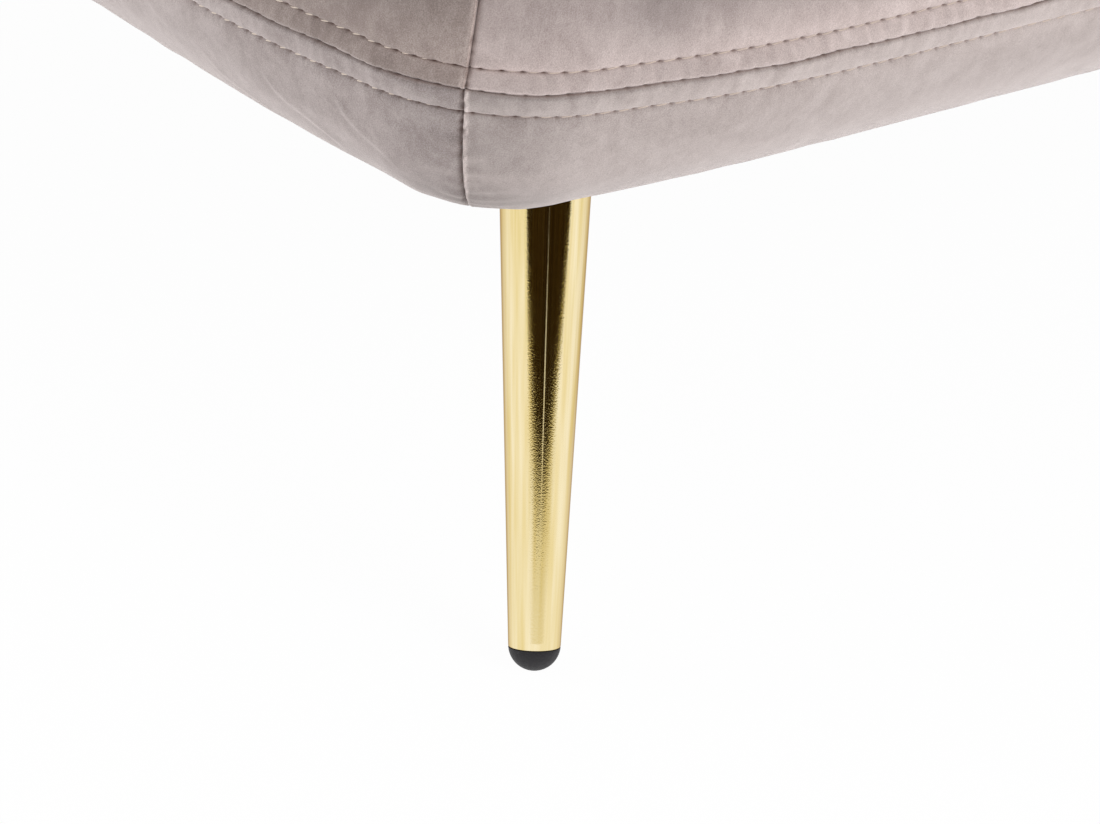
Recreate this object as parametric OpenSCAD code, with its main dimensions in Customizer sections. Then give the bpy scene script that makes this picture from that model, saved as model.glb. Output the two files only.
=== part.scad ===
// Chaise longue: a velvet seat body on four splayed metal legs, with a back round the rear and the head end.
// X runs from the foot end to the head end, Y from the open front to the rear, and Z starts at the floor.

/* [Overall] */
// Overall length, at the widest swell of the seat body
overall_length = 1560; // [1400:10:1720]
// Overall width, at the widest swell of the seat body
overall_width = 720; // [660:10:800]
// Height of the underside above the floor
underside_height = 178; // [150:1:210]

/* [Seat body] */
// Swell of the sides past the underside outline, at the sewn seam
side_swell = 29; // [22:1:34]
// Swell of the corners past the underside outline, at the sewn seam
corner_swell = 15.6; // [10:0.2:20]
// Length over which a corner swells out to its side
swell_reach = 60; // [45:5:90]
// Corner radius of the underside outline
corner_radius = 36; // [30:1:48]
// Height of the sewn seam above the underside
seam_rise = 47.6; // [40:0.2:56]
// Inset of the lowest line of the lower band
roll_inset = 15; // [11:1:19]
// How far the lower band hangs below the underside
roll_hang = 3; // [1:0.5:5]
// Inset of the lower band's stapled edge, under the rails
staple_inset = 40; // [36:1:46]
// How far the vertical corner seams lie towards the end faces
corner_seam_shift = 5; // [0:0.5:8]
// Height of the border panels, from the sewn seam to the top edge seam
border_height = 174.4; // [160:0.2:200]
// Power of the border's lean: 1 is a straight taper
border_lean = 1.6; // [1.2:0.1:2.2]
// Inset of the rounded top edge
edge_inset = 34; // [28:1:36]
// Rise of the rounded top edge
edge_rise = 24; // [18:1:30]
// Rise of the seat's crown above its edge
crown_rise = 16; // [8:1:30]
// Inset of the crown from the open sides
crown_inset = 120; // [90:5:150]
// Thickness of the velvet with its wadding
cover_t = 2.5; // [2:0.1:3.5]
// Clearance of soft pieces to their neighbours
soft_gap = 0.3; // [0.2:0.1:0.6]

/* [Frame] */
// Inset of the rails from the underside outline
rail_inset = 26; // [22:1:30]
// Thickness of the rails
rail_t = 28; // [22:1:32]
// Height of the rails
rail_height = 128; // [110:1:136]
// Height of the rails' lower edge above the underside
rail_lift = 12; // [11.5:0.5:14]
// Distance of the outer cross rails from the middle one
cross_spacing = 360; // [300:10:420]
// Height of the cross rails
cross_height = 45; // [35:1:60]
// Thickness of the cross rails
cross_t = 25; // [20:1:30]
// Side of the square corner blocks
block_side = 80; // [76:1:90]
// Height of the corner blocks
block_height = 50; // [40:1:60]
// Thickness of the dust cover
dust_t = 1.2; // [0.8:0.1:2]

/* [Springs] */
// Number of sinuous springs
spring_count = 10; // [7:1:12]
// Width of a spring's loops
spring_width = 44; // [36:1:50]
// Length of one full wave of a spring
spring_pitch = 52; // [44:1:64]
// Diameter of the spring wire
spring_wire = 3.8; // [3:0.2:4.2]
// Length of a spring clip along the rail
clip_length = 24; // [18:1:30]
// Thickness of the clips' steel
clip_t = 1.2; // [0.8:0.1:1.6]
// Depth of a clip across the rail
clip_depth = 18; // [14:1:22]
// Thickness of the felt over the springs
felt_t = 4; // [3:0.5:8]

/* [Legs] */
// Inset of a leg's axis from the end face, at underside height
leg_inset_end = 82.5; // [76:0.5:90]
// Inset of a leg's axis from the side face, at underside height
leg_inset_side = 66.7; // [60:0.1:76]
// Lean of a leg towards the end, per unit of height
lean_end = 0.166; // [0.1:0.002:0.2]
// Lean of a leg towards the side, per unit of height
lean_side = 0.298; // [0.2:0.002:0.32]
// Diameter of the leg tube at its top
leg_top_d = 33; // [28:0.5:37]
// Diameter of the leg tube at its bottom
leg_bottom_d = 17.4; // [16:0.2:22]
// Wall of the leg tube
leg_wall = 1.5; // [1:0.1:2.5]
// Height above the floor of the tube's lower end, on its axis
leg_end_height = 7.2; // [6.6:0.1:8]
// How far the tube's top lies above the underside, on its axis
leg_top_rise = 6; // [4:0.5:6.5]
// Thickness of the cap welded into the tube's top
leg_cap_t = 3; // [2:0.5:5]
// Diameter of the leg's stud
stud_d = 10; // [8:1:12]
// Clearance round the stud
stud_gap = 0.05; // [0.02:0.01:0.1]
// Length of the stud above the leg's cap
stud_reach = 12; // [8:0.5:13]
// Diameter of the stud's welded head
stud_head_d = 16; // [14:0.5:20]
// Thickness of the stud's welded head
stud_head_t = 4; // [3:0.5:6]
// Side of the square leg plate
plate_side = 76; // [72:1:76]
// Thickness of the leg plate
plate_t = 3; // [2:0.5:4]
// Diameter of the threaded boss under the plate
boss_d = 26; // [20:0.5:28]
// Distance between the screws of a plate
screw_spacing = 64; // [58:1:66]
// Diameter of a plate screw
screw_d = 4.5; // [4:0.5:6]
// Length of a plate screw in the block
screw_length = 28; // [20:1:35]
// Diameter of a screw's head
screw_head_d = 8.6; // [8:0.2:11]
// Thickness of a screw's head
screw_head_t = 2.4; // [2:0.2:3]
// Length of the rubber foot's plug inside the tube
plug_length = 14; // [10:1:20]
// Clearance of the plug in the tube
plug_gap = 0.05; // [0.02:0.01:0.1]
// Depth of the flat worn on the foot where it meets the floor
foot_flat = 0.8; // [0.5:0.1:1.2]

/* [Back] */
// Height of the back above the seat's edge, at the head end
back_rise = 366; // [300:2:420]
// Height of the arm above the seat's edge, at its nose
nose_rise = 130; // [122:2:160]
// How far the back drops towards its front end
front_drop = 24; // [0:2:40]
// Position of the arm's nose along the seat
nose_x = -250; // [-300:5:-200]
// Position where the arm's sweep reaches full height
sweep_end_x = 430; // [330:10:500]
// Outward swell of the back from its middle line
back_outer = 61; // [56:1:64]
// Inward swell of the back from its middle line
back_inner = 76; // [68:1:84]
// Radius of the back's middle line round the rear corner
back_corner_r = 70; // [66:1:80]
// Distance of the back's front end from the underside outline
front_inset = 26; // [20:1:32]
// Thickness of the back's frame
back_frame_t = 28; // [22:1:30]
// Height of the back's rails
back_rail_height = 40; // [34:1:46]
// Width of a back post along the frame
post_width = 60; // [50:1:66]
// Distance of the back frame's top under the back's top
frame_drop = 34; // [32:1:44]
// Thickness of the webbing
web_t = 2.5; // [2:0.5:3]
// Width of a web
web_width = 60; // [50:1:70]
// Diameter of a post screw
post_screw_d = 6; // [5:0.5:8]
// Distance between the two screws of a post
post_screw_spacing = 34; // [28:1:38]

/* [Hidden] */

velvet = "#b5a6a1";
foam_color = "#e9e0b8";
wood = "#caa877";
steel = "#8f9296";
gold = "#d9b65c";
rubber = "#343036";

// Smoothness of turned parts, and a small overshoot of cutting tools
round_fn = 64;
cut = 1;

// Heights, from the floor up
z_under = underside_height;
z_seam = z_under + seam_rise;
z_top_seam = z_seam + border_height;
z_plateau = z_top_seam + edge_rise;
z_crown = z_plateau + crown_rise;
rail_bottom = z_under + rail_lift;
rail_top = rail_bottom + rail_height;
clip_height = 2 * clip_t + spring_wire;
felt_bottom = rail_top + clip_height + soft_gap;
foam_bottom = felt_bottom + felt_t + soft_gap;

// Half sizes of the underside outline, and of the rails' inner faces
half_l = overall_length / 2 - side_swell;
half_w = overall_width / 2 - side_swell;
inner_inset = rail_inset + rail_t;
chamfer = corner_radius - rail_inset + 1;

// Middle lines of the back, which stands against the rails' inner faces
back_inset = inner_inset + back_frame_t / 2;
back_y = half_w - back_inset;
back_x = half_l - back_inset;
arc_x = back_x - back_corner_r;
arc_y = back_y - back_corner_r;
front_y = -(half_w - front_inset);
z_back = z_plateau + soft_gap;
tight_r = 25;

// A point between two others, and a cubic smooth step
function mix(a, b, t) = a + (b - a) * t;
function smooth(t) = let (u = max(0, min(1, t))) u * u * (3 - 2 * u);

// Inner side of an open profile, drawn from bottom to top or from outside to inside
function inset_profile(p, t) = [
    for (i = [0:len(p) - 1])
        let (d = p[min(i + 1, len(p) - 1)] - p[max(i - 1, 0)], n = [d.y, -d.x] / norm(d)) p[i] - n * t
];

// Triangles of a grid of points, a closed band if wrap is true
function grid_faces(base, rows, cols, wrap, flip) = [
    for (r = [0:rows - 2], c = [0:cols - (wrap ? 1 : 2)])
        let (n = (c + 1) % cols, a = base + r * cols + c, b = base + r * cols + n)
        let (e = a + cols, f = b + cols)
        each flip ? [[a, b, f], [a, f, e]] : [[a, f, b], [a, e, f]]
];
function flat_list(rows) = [for (row = rows) each row];
function reverse(v) = [for (i = [len(v) - 1:-1:0]) v[i]];
function centre_of(points) = [
    for (k = [0:2]) let (v = [for (p = points) p[k]]) (min(v) + max(v)) / 2
];

// Shell between an outer and an inner open grid
module cloth(outer, inner) {
    rows = len(outer);
    cols = len(outer[0]);
    n = rows * cols;
    ends = [
        for (c = [0:cols - 2])
            let (a = c, b = c + 1, top = (rows - 1) * cols)
            each [
                [a, b, b + n], [a, b + n, a + n],
                [top + a, top + b + n, top + b], [top + a, top + a + n, top + b + n]
            ]
    ];
    sides = [
        for (r = [0:rows - 2])
            let (a = r * cols, b = a + cols, last = cols - 1)
            each [
                [a, b + n, b], [a, a + n, b + n],
                [a + last, b + last, b + last + n], [a + last, b + last + n, a + last + n]
            ]
    ];
    polyhedron(
        concat(flat_list(outer), flat_list(inner)),
        concat(grid_faces(0, rows, cols, false, false), grid_faces(n, rows, cols, false, true), ends, sides)
    );
}

// Cap of cloth: closed outer and inner rows from the rim upwards, with a point in the middle of each top
module cap_cloth(outer, inner, outer_top, inner_top) {
    rows = len(outer);
    cols = len(outer[0]);
    n = rows * cols;
    ends = [
        for (a = [0:cols - 1])
            let (b = (a + 1) % cols, top = (rows - 1) * cols)
            each [
                [a, b, b + n], [a, b + n, a + n],
                [2 * n, top + b, top + a], [2 * n + 1, top + a + n, top + b + n]
            ]
    ];
    polyhedron(
        concat(flat_list(outer), flat_list(inner), [outer_top, inner_top]),
        concat(grid_faces(0, rows, cols, true, false), grid_faces(n, rows, cols, true, true), ends)
    );
}

// Solid from closed rings, stacked from bottom to top, with a point in the middle of each end
module stack(rings, low, high) {
    rows = len(rings);
    cols = len(rings[0]);
    n = rows * cols;
    ends = [
        for (c = [0:cols - 1])
            let (b = (c + 1) % cols, top = (rows - 1) * cols)
            each [[n, c, b], [n + 1, top + b, top + c]]
    ];
    polyhedron(concat(flat_list(rings), [low, high]), concat(grid_faces(0, rows, cols, true, false), ends));
}

// Solid swept by a closed section along an open path
module loft(sections) {
    stack(sections, centre_of(sections[0]), centre_of(sections[len(sections) - 1]));
}

// Stations round the seat body, anticlockwise from the head end: [x share, y share, corner, angle, distance]
// A station on a straight side has a share of that side, and one on a corner has its angle.
arc_half = corner_radius * PI / 4;
seam_angle = corner_seam_shift / corner_radius * 180 / PI;
straight_x = half_l - corner_radius;
straight_y = half_w - corner_radius;
corner_steps = [32, 82]; // from the ends of a straight side
head_steps = [168, 226]; // from the head end, on both sides of the crown's edge
nose_steps = [25, 90]; // from the arm's nose, on both sides of the crown's edge
middle_xs = [-430, 20, 290];
middle_y = 100;
long_xs = [
    -straight_x + corner_steps[0], -straight_x + corner_steps[1], middle_xs[0], nose_x - nose_steps[1],
    nose_x - nose_steps[0], middle_xs[1], middle_xs[2], half_l - head_steps[1], half_l - head_steps[0],
    straight_x - corner_steps[1], straight_x - corner_steps[0]
];
short_ys = [
    -straight_y + corner_steps[0], -straight_y + corner_steps[1], -middle_y, 0, middle_y,
    straight_y - corner_steps[1], straight_y - corner_steps[0]
];
function corner_angles(k) = let (seam = 45 + (k % 2 == 0 ? -seam_angle : seam_angle))
    [for (a = [0, seam / 2, seam, (seam + 90) / 2, 90]) a];
function corner_stations(k) = [for (a = corner_angles(k)) ["arc", k, a]];
stations = concat(
    corner_stations(0), [for (x = reverse(long_xs)) ["rear", 0, x]],
    corner_stations(1), [for (y = reverse(short_ys)) ["foot", 0, y]],
    corner_stations(2), [for (x = long_xs) ["front", 0, x]],
    corner_stations(3), [for (y = short_ys) ["head", 0, y]]
);
arc_n = 5;
seam_index = 2;
rear_start = 0;
foot_start = arc_n + len(long_xs);
front_start = foot_start + arc_n + len(short_ys);
head_start = front_start + arc_n + len(long_xs);

// Distance of a station from the middle of its corner, along the outline
function corner_distance(s) =
    s[0] == "arc" ? abs(s[2] - 45) / 45 * arc_half :
    arc_half + (s[0] == "rear" || s[0] == "front" ? straight_x : straight_y) - abs(s[2]);
function swell_share(s) = 1 - exp(-pow(corner_distance(s) / swell_reach, 2));

// Place of a station on the rounded rectangle between two corners
function on_outline(s, low, high, r) =
    let (mid = (low + high) / 2, half = (high - low) / 2 - [r, r])
    s[0] == "rear" ? [mid.x + s[2] / straight_x * half.x, high.y] :
    s[0] == "front" ? [mid.x + s[2] / straight_x * half.x, low.y] :
    s[0] == "foot" ? [low.x, mid.y + s[2] / straight_y * half.y] :
    s[0] == "head" ? [high.x, mid.y + s[2] / straight_y * half.y] :
    let (
        sx = s[1] == 0 || s[1] == 3 ? 1 : -1, sy = s[1] < 2 ? 1 : -1, a = 90 * s[1] + s[2]
    ) mid + [sx * half.x, sy * half.y] + r * [cos(a), sin(a)];

least_r = 4;
function at_offset(s, o, z) =
    let (size = [half_l + o, half_w + o], p = on_outline(s, -size, size, max(least_r, corner_radius + o)))
    [p.x, p.y, z];
function body_row(corner_p, side_p) = [
    for (s = stations) let (p = mix(corner_p, side_p, swell_share(s))) at_offset(s, p.x, p.y)
];
function level_row(o, z) = [for (s = stations) at_offset(s, o, z)];

// Profile of the body's side, from the stapled edge up to the seat's edge: [offset, height]
staple_z = rail_bottom - soft_gap - cover_t;
band_angles = [90, 66, 44, 22, 0];
function band_profile(swell) = concat(
    [
        [-staple_inset, staple_z],
        [-mix(roll_inset, staple_inset, 0.5), mix(z_under - roll_hang, staple_z, 0.35)]
    ],
    [for (a = band_angles) [
        -roll_inset + (swell + roll_inset) * cos(a), z_seam - (seam_rise + roll_hang) * sin(a)
    ]]
);
split_share = (foam_bottom - z_seam) / border_height;
border_shares = [split_share / 2, split_share, (1 + split_share) / 2, 1];
function border_profile(swell) = [
    for (t = border_shares) [swell * (1 - pow(t, border_lean)), z_seam + border_height * t]
];
edge_angles = [32, 62, 90];
edge_profile = [
    for (a = edge_angles) [-edge_inset * (1 - cos(a)), z_top_seam + edge_rise * sin(a)]
];
function side_profile(swell) = concat(band_profile(swell), border_profile(swell), edge_profile);
seam_row = 1 + len(band_angles);
split_row = seam_row + 2;
top_row = seam_row + len(border_shares);
edge_row = top_row + len(edge_angles);
side_p = side_profile(side_swell);
corner_p = side_profile(corner_swell);
function inset_row(i, t) =
    let (c = inset_profile(corner_p, t), s = inset_profile(side_p, t)) body_row(c[i], s[i]);

// The seat's top: flat where the back stands, and crowned where it is sat on
crown_gap = 11;
back_reach = back_inset + back_inner + crown_gap;
under_head_x = half_l - mix(head_steps[0], head_steps[1], 0.5);
under_nose_x = nose_x - mix(nose_steps[0], nose_steps[1], 0.5);
function under_back(s) =
    s[0] == "head" || (s[0] == "arc" && (s[1] == 0 || s[1] == 3)) ||
    ((s[0] == "rear" || s[0] == "front") && s[2] > under_head_x) || (s[0] == "rear" && s[2] > under_nose_x);
crown_r = 20;
crown_low = [-half_l + crown_inset, -half_w + crown_inset];
function crown_high(s) = [
    half_l - back_reach, half_w - (s[0] == "rear" && !under_back(s) || s[0] == "foot" ||
    (s[0] == "arc" && s[1] == 1) ? crown_inset : back_reach)
];
crown_mid = (crown_low + [half_l - back_reach, half_w - back_reach]) / 2;
crown_foot_share = 0.45;
crown_half_share = 0.8;
function crown_row(lower) = [
    for (s = stations)
        let (p = on_outline(s, crown_low, crown_high(s), crown_r))
        [p.x, p.y, z_plateau - lower + (under_back(s) ? 0 : crown_rise * crown_foot_share)]
];
function crown_half_row(lower) = [
    for (s = stations)
        let (p = mix(crown_mid, on_outline(s, crown_low, crown_high(s), crown_r), 0.5))
        [p.x, p.y, z_plateau - lower + crown_rise * crown_half_share]
];
function level(row, z) = [for (p = row) [p.x, p.y, z]];

// Velvet panels, each cut from the body's side between two rows and two vertical seams
function part_of(row, first, count) = [for (i = [0:count - 1]) row[(first + seam_index + i) % len(row)]];
module panel(first, count, low_row, high_row) {
    color(velvet) cloth(
        [for (i = [low_row:high_row]) part_of(inset_row(i, 0), first, count)],
        [for (i = [low_row:high_row]) part_of(inset_row(i, cover_t), first, count)]
    );
}
long_count = len(long_xs) + 1 + arc_n;
short_count = len(short_ys) + 1 + arc_n;
module rear_border() panel(rear_start, long_count, seam_row, top_row);
module foot_border() panel(foot_start, short_count, seam_row, top_row);
module front_border() panel(front_start, long_count, seam_row, top_row);
module head_border() panel(head_start, short_count, seam_row, top_row);
module rear_lower_band() panel(rear_start, long_count, 0, seam_row);
module foot_lower_band() panel(foot_start, short_count, 0, seam_row);
module front_lower_band() panel(front_start, long_count, 0, seam_row);
module head_lower_band() panel(head_start, short_count, 0, seam_row);

// Seat top cover: rows from the edge seam up to the crown
function top_rows(t) = concat(
    [for (i = [top_row:edge_row]) inset_row(i, t)], [crown_row(t), crown_half_row(t)]
);
module seat_top_cover() {
    top = [crown_mid.x, crown_mid.y, z_crown];
    color(velvet) difference() {
        cap_cloth(top_rows(0), top_rows(cover_t), top, top - [0, 0, cover_t]);
        post_holes();
    }
}

foam_t = cover_t + soft_gap;
module seat_foam() {
    rows = concat(
        [level(inset_row(split_row, foam_t), foam_bottom)],
        [for (i = [split_row + 1:edge_row]) inset_row(i, foam_t)],
        [crown_row(foam_t), crown_half_row(foam_t)]
    );
    color(foam_color) difference() {
        stack(rows, [crown_mid.x, crown_mid.y, foam_bottom], [crown_mid.x, crown_mid.y, z_crown - foam_t]);
        post_holes();
    }
}

// Foam between the rails and the velvet, as one closed ring
module border_foam() {
    inside = -rail_inset + soft_gap;
    top = foam_bottom - soft_gap;
    rows = concat(
        [level_row(inside, rail_bottom - 1)],
        [for (i = [2:split_row - 1]) inset_row(i, foam_t)],
        [level(inset_row(split_row, foam_t), top), level_row(inside, top)]
    );
    count = len(rows);
    cols = len(rows[0]);
    closing = [
        for (c = [0:cols - 1])
            let (b = (c + 1) % cols, low = c, low_b = b, high = (count - 1) * cols + c)
            let (high_b = (count - 1) * cols + b)
            each [[high, low_b, high_b], [high, low, low_b]]
    ];
    color(foam_color)
        polyhedron(flat_list(rows), concat(grid_faces(0, count, cols, true, false), closing));
}

// Dust cover: under the rails, inside the stapled edges of the bands
module dust_cover() {
    top = rail_bottom - soft_gap;
    rise = top - z_under;
    inset = staple_inset + least_r / 2 + soft_gap;
    size = 2 * [half_l - inset, half_w - inset];
    color("#3a3a3c") difference() {
        translate([-size.x / 2, -size.y / 2, top - dust_t]) cube([size.x, size.y, dust_t]);
        for (end = ["foot", "head"], side = ["front", "rear"]) at_corner(side, end)
            translate([leg_inset_end, leg_inset_side, top - dust_t - cut] + rise * [lean_end, lean_side, 0])
                cylinder(r = leg_top_d / 2 + 3, h = dust_t + 2 * cut, $fn = round_fn);
    }
}

// The front foot corner is the pattern, and the others mirror it
module at_corner(side, end) {
    mirror([end == "head" ? 1 : 0, 0, 0]) mirror([0, side == "rear" ? 1 : 0, 0])
        translate([-half_l, -half_w, 0]) children();
}

// Rails: the long ones run through, with their outer corners taken off to follow the cover
module long_rail(sign) {
    x = half_l - rail_inset;
    y = half_w - rail_inset;
    outline = [
        [-x + chamfer, y], [-x, y - chamfer], [-x, y - rail_t], [x, y - rail_t], [x, y - chamfer],
        [x - chamfer, y]
    ];
    scale_y = sign < 0 ? 1 : 0;
    color(wood) mirror([0, scale_y, 0]) translate([0, 0, rail_bottom]) linear_extrude(rail_height)
        polygon(outline);
}
module front_rail() long_rail(-1);
module rear_rail() {
    difference() {
        long_rail(1);
        rear_screw_holes();
    }
}
module end_rail(sign) {
    y = half_w - inner_inset;
    color(wood) mirror([sign < 0 ? 1 : 0, 0, 0])
        translate([half_l - inner_inset, -y, rail_bottom]) cube([rail_t, 2 * y, rail_height]);
}
module foot_rail() end_rail(-1);
module head_rail() {
    difference() {
        end_rail(1);
        head_screw_holes();
    }
}
module cross_rail(x) {
    y = half_w - inner_inset;
    color(wood) translate([x - cross_t / 2, -y, rail_bottom]) cube([cross_t, 2 * y, cross_height]);
}
module cross_rail_foot() cross_rail(-cross_spacing);
module cross_rail_middle() cross_rail(0);
module cross_rail_head() cross_rail(cross_spacing);

// Corner blocks carry the leg plates, and take their screws
plate_rise = 9;
plate_top = rail_bottom + plate_rise;
plate_bottom = plate_top - plate_t;
block_top = plate_top + block_height;
plate_mid = inner_inset + block_side / 2;
hole_spare = 0.5; // how much deeper a screw's hole is than the screw
module screw_places() {
    for (x = [-1, 1], y = [-1, 1])
        translate([plate_mid + x * screw_spacing / 2, plate_mid + y * screw_spacing / 2, 0]) children();
}
module corner_block(side, end) {
    color(wood) at_corner(side, end) difference() {
        translate([inner_inset, inner_inset, plate_top]) cube([block_side, block_side, block_height]);
        screw_places() translate([0, 0, plate_top - cut])
            cylinder(d = screw_d + 2 * stud_gap, h = screw_length + cut + hole_spare, $fn = round_fn);
    }
}
module plate_screws() {
    color(steel) for (end = ["foot", "head"], side = ["front", "rear"]) at_corner(side, end) screw_places() {
        translate([0, 0, plate_bottom - screw_head_t])
            cylinder(d = screw_head_d, h = screw_head_t, $fn = round_fn);
        translate([0, 0, plate_bottom - screw_head_t])
            cylinder(d = screw_d, h = screw_head_t + plate_t + screw_length, $fn = round_fn);
    }
}

// Legs: the local Z runs up the leg's axis, with its zero at underside height
splay = atan(norm([lean_end, lean_side]));
heading = atan2(lean_side, lean_end);
axis_scale = 1 / cos(splay);
leg_low = -(z_under - leg_end_height) * axis_scale;
leg_high = leg_top_rise * axis_scale;
leg_length = leg_high - leg_low;
module leg_frame() {
    translate([leg_inset_end, leg_inset_side, z_under]) rotate([0, splay, heading]) children();
}
module leg(side, end) {
    r_low = leg_bottom_d / 2;
    r_high = leg_top_d / 2;
    color(gold) at_corner(side, end) leg_frame() translate([0, 0, leg_low]) difference() {
        cylinder(r1 = r_low, r2 = r_high, h = leg_length, $fn = round_fn);
        translate([0, 0, -0.01]) cylinder(
            r1 = r_low - leg_wall, h = leg_length - leg_cap_t + 0.01, $fn = round_fn,
            r2 = mix(r_high, r_low, leg_cap_t / leg_length) - leg_wall
        );
        cylinder(d = stud_d + 2 * stud_gap, h = leg_length + cut, $fn = round_fn);
    }
}
module leg_stud(side, end) {
    color(steel) at_corner(side, end) leg_frame() {
        translate([0, 0, leg_high - leg_cap_t - stud_head_t])
            cylinder(d = stud_head_d, h = stud_head_t, $fn = round_fn);
        translate([0, 0, leg_high - leg_cap_t - stud_head_t])
            cylinder(d = stud_d, h = leg_cap_t + stud_head_t + stud_reach, $fn = round_fn);
    }
}
boss_turn = 100;
slab_margin = 20;
module leg_plate(side, end) {
    slab = plate_side + slab_margin;
    color(steel) at_corner(side, end) difference() {
        union() {
            translate([plate_mid - plate_side / 2, plate_mid - plate_side / 2, plate_bottom])
                cube([plate_side, plate_side, plate_t]);
            intersection() {
                leg_frame() translate([0, 0, leg_high]) rotate([0, 0, boss_turn])
                    cylinder(d = boss_d, h = plate_side, $fn = round_fn);
                translate([plate_mid - slab / 2, plate_mid - slab / 2, plate_top - plate_t / 2 - slab])
                    cube([slab, slab, slab]);
            }
        }
        leg_frame() rotate([0, 0, boss_turn])
            cylinder(d = stud_d + 2 * stud_gap, h = plate_side, $fn = round_fn);
        screw_places() translate([0, 0, plate_bottom - cut])
            cylinder(d = screw_d + 2 * stud_gap, h = plate_t + 2 * cut, $fn = round_fn);
    }
}

// The foot's dome is centred just inside the tube, and the floor cuts its flat
module rubber_foot(side, end) {
    plug_r = leg_bottom_d / 2 - leg_wall - plug_gap;
    dome_r = leg_bottom_d / 2;
    dome_rise = (dome_r - foot_flat - leg_end_height) * axis_scale;
    color(rubber) at_corner(side, end) difference() {
        leg_frame() translate([0, 0, leg_low]) {
            cylinder(r = plug_r, h = plug_length, $fn = round_fn);
            intersection() {
                translate([0, 0, dome_rise]) sphere(r = dome_r, $fn = round_fn);
                translate([-2 * dome_r, -2 * dome_r, -4 * dome_r]) cube(4 * dome_r);
            }
        }
        translate([0, -leg_inset_side, -4 * dome_r])
            cube([2 * leg_inset_end, 3 * leg_inset_side, 4 * dome_r]);
    }
}

// Springs run from front to rear, each held in a clip on either long rail
post_gap = 0.5;
spring_foot_gap = 75;
spring_head_gap = 45;
spring_low_x = -(half_l - inner_inset - spring_foot_gap);
spring_high_x = arc_x - post_width - spring_head_gap;
spring_step = (spring_high_x - spring_low_x) / (spring_count - 1);
function spring_x(i) = spring_low_x + i * spring_step;
spring_end = half_w - inner_inset + rail_t / 2;
module wave(width, pitch, wire, length) {
    step = pitch / 9;
    count = ceil(length / step);
    function path(i) = let (y = -length / 2 + i * length / count)
        [width / 2 * sin(360 * (y + length / 2) / pitch), y];
    function side(i) = let (d = path(i + 0.5) - path(i - 0.5)) [d.y, -d.x] / norm(d) * wire / 2;
    polygon(concat(
        [for (i = [0:count]) path(i) + side(i)], [for (i = [count:-1:0]) path(i) - side(i)]
    ));
}
module seat_springs() {
    color(steel) for (i = [0:spring_count - 1]) translate([spring_x(i), 0, rail_top + clip_t])
        linear_extrude(spring_wire)
            wave(spring_width - spring_wire, spring_pitch, spring_wire, 2 * spring_end - spring_wire);
}
module spring_clips() {
    back = spring_end + soft_gap;
    color(steel) for (i = [0:spring_count - 1], m = [0, 1]) mirror([0, m, 0])
        translate([spring_x(i) - clip_length / 2, back - clip_depth + clip_t, rail_top]) difference() {
            cube([clip_length, clip_depth, clip_height]);
            translate([-cut, -clip_t, clip_t]) cube([clip_length + 2 * cut, clip_depth, spring_wire]);
        }
}
felt_inset = rail_inset + 4;
module spring_felt() {
    x = half_l - felt_inset;
    y = half_w - felt_inset;
    color("#6f6f72") difference() {
        translate([-x, -y, felt_bottom]) cube([2 * x, 2 * y, felt_t]);
        post_holes();
    }
}

// Back: its height along the way from the nose, round the corner, to the front end
end_steps = [12, 36, 110]; // from the nose and from the front end
arc_step = 40; // from the rear corner's arc
rear_step = 110;
rear_steps = 3;
head_middle_ys = [60, -70, -180];
rear_xs = concat(
    [nose_x], [for (d = end_steps) nose_x + d], [for (i = [0:rear_steps]) i * rear_step],
    [sweep_end_x, arc_x - arc_step]
);
head_ys = concat(
    [arc_y - arc_step], head_middle_ys, [front_y + end_steps[1], front_y + end_steps[0], front_y]
);
arc_steps = [0, 22.5, 45, 67.5, 90];
function end_round(d) = lookup(d, [[0, 0.8], [end_steps[0], 0.94], [end_steps[1], 1]]);
function end_height(d) =
    lookup(d, [[0, 0.84], [end_steps[0], 0.95], [end_steps[1], 0.99], [end_steps[2], 1]]);
nose_level = 40;
sweep_start_x = nose_x + nose_level;
function sweep(x) =
    mix(nose_rise, back_rise, smooth((x - sweep_start_x) / (sweep_end_x - sweep_start_x)));
function head_rise(y) = back_rise - front_drop * pow((arc_y - y) / (arc_y - front_y), 2);
back_stations = concat(
    [for (x = rear_xs) ["rear", x, sweep(x) * end_height(x - nose_x), end_round(x - nose_x)]],
    [for (a = arc_steps) ["arc", a, back_rise, 1]],
    [for (y = head_ys) ["head", y, head_rise(y) * end_height(y - front_y), end_round(y - front_y)]]
);
function back_point(s, o, z) =
    let (r = max(tight_r, back_corner_r + o), c = [back_x + o - r, back_y + o - r])
    s[0] == "rear" ? [s[1], back_y + o, z] :
    s[0] == "head" ? [back_x + o, s[1], z] : [c.x + r * sin(s[1]), c.y + r * cos(s[1]), z];

// The back's section: [share of the swell, share of the height], from the outer foot over the top seam
back_shape = [
    [0.56, 0], [0.88, 0.05], [1, 0.3], [0.98, 0.62], [0.85, 0.86], [0.5, 0.975], [0, 1],
    [-0.31, 0.97], [-0.58, 0.85], [-0.76, 0.6], [-0.92, 0.32], [-1, 0.1], [-0.82, 0]
];
back_seam = 6;
outer_side = [0, back_seam];
inner_side = [back_seam, len(back_shape) - 1];
function section(s, t) = inset_profile(
    [for (p = back_shape) [p.x * (p.x > 0 ? back_outer : back_inner) * s[3], z_back + p.y * s[2]]], t
);
function half_section(side, s, t) = let (p = section(s, t)) [for (i = [side[0]:side[1]]) p[i]];
function back_rows(side, t) = [
    for (s = back_stations) [for (p = half_section(side, s, t)) back_point(s, p.x, p.y)]
];
module back_cover(side) {
    color(velvet) cloth(back_rows(side, 0), back_rows(side, cover_t));
}
module back_outer_cover() back_cover(outer_side);
module back_inner_cover() back_cover(inner_side);

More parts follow.
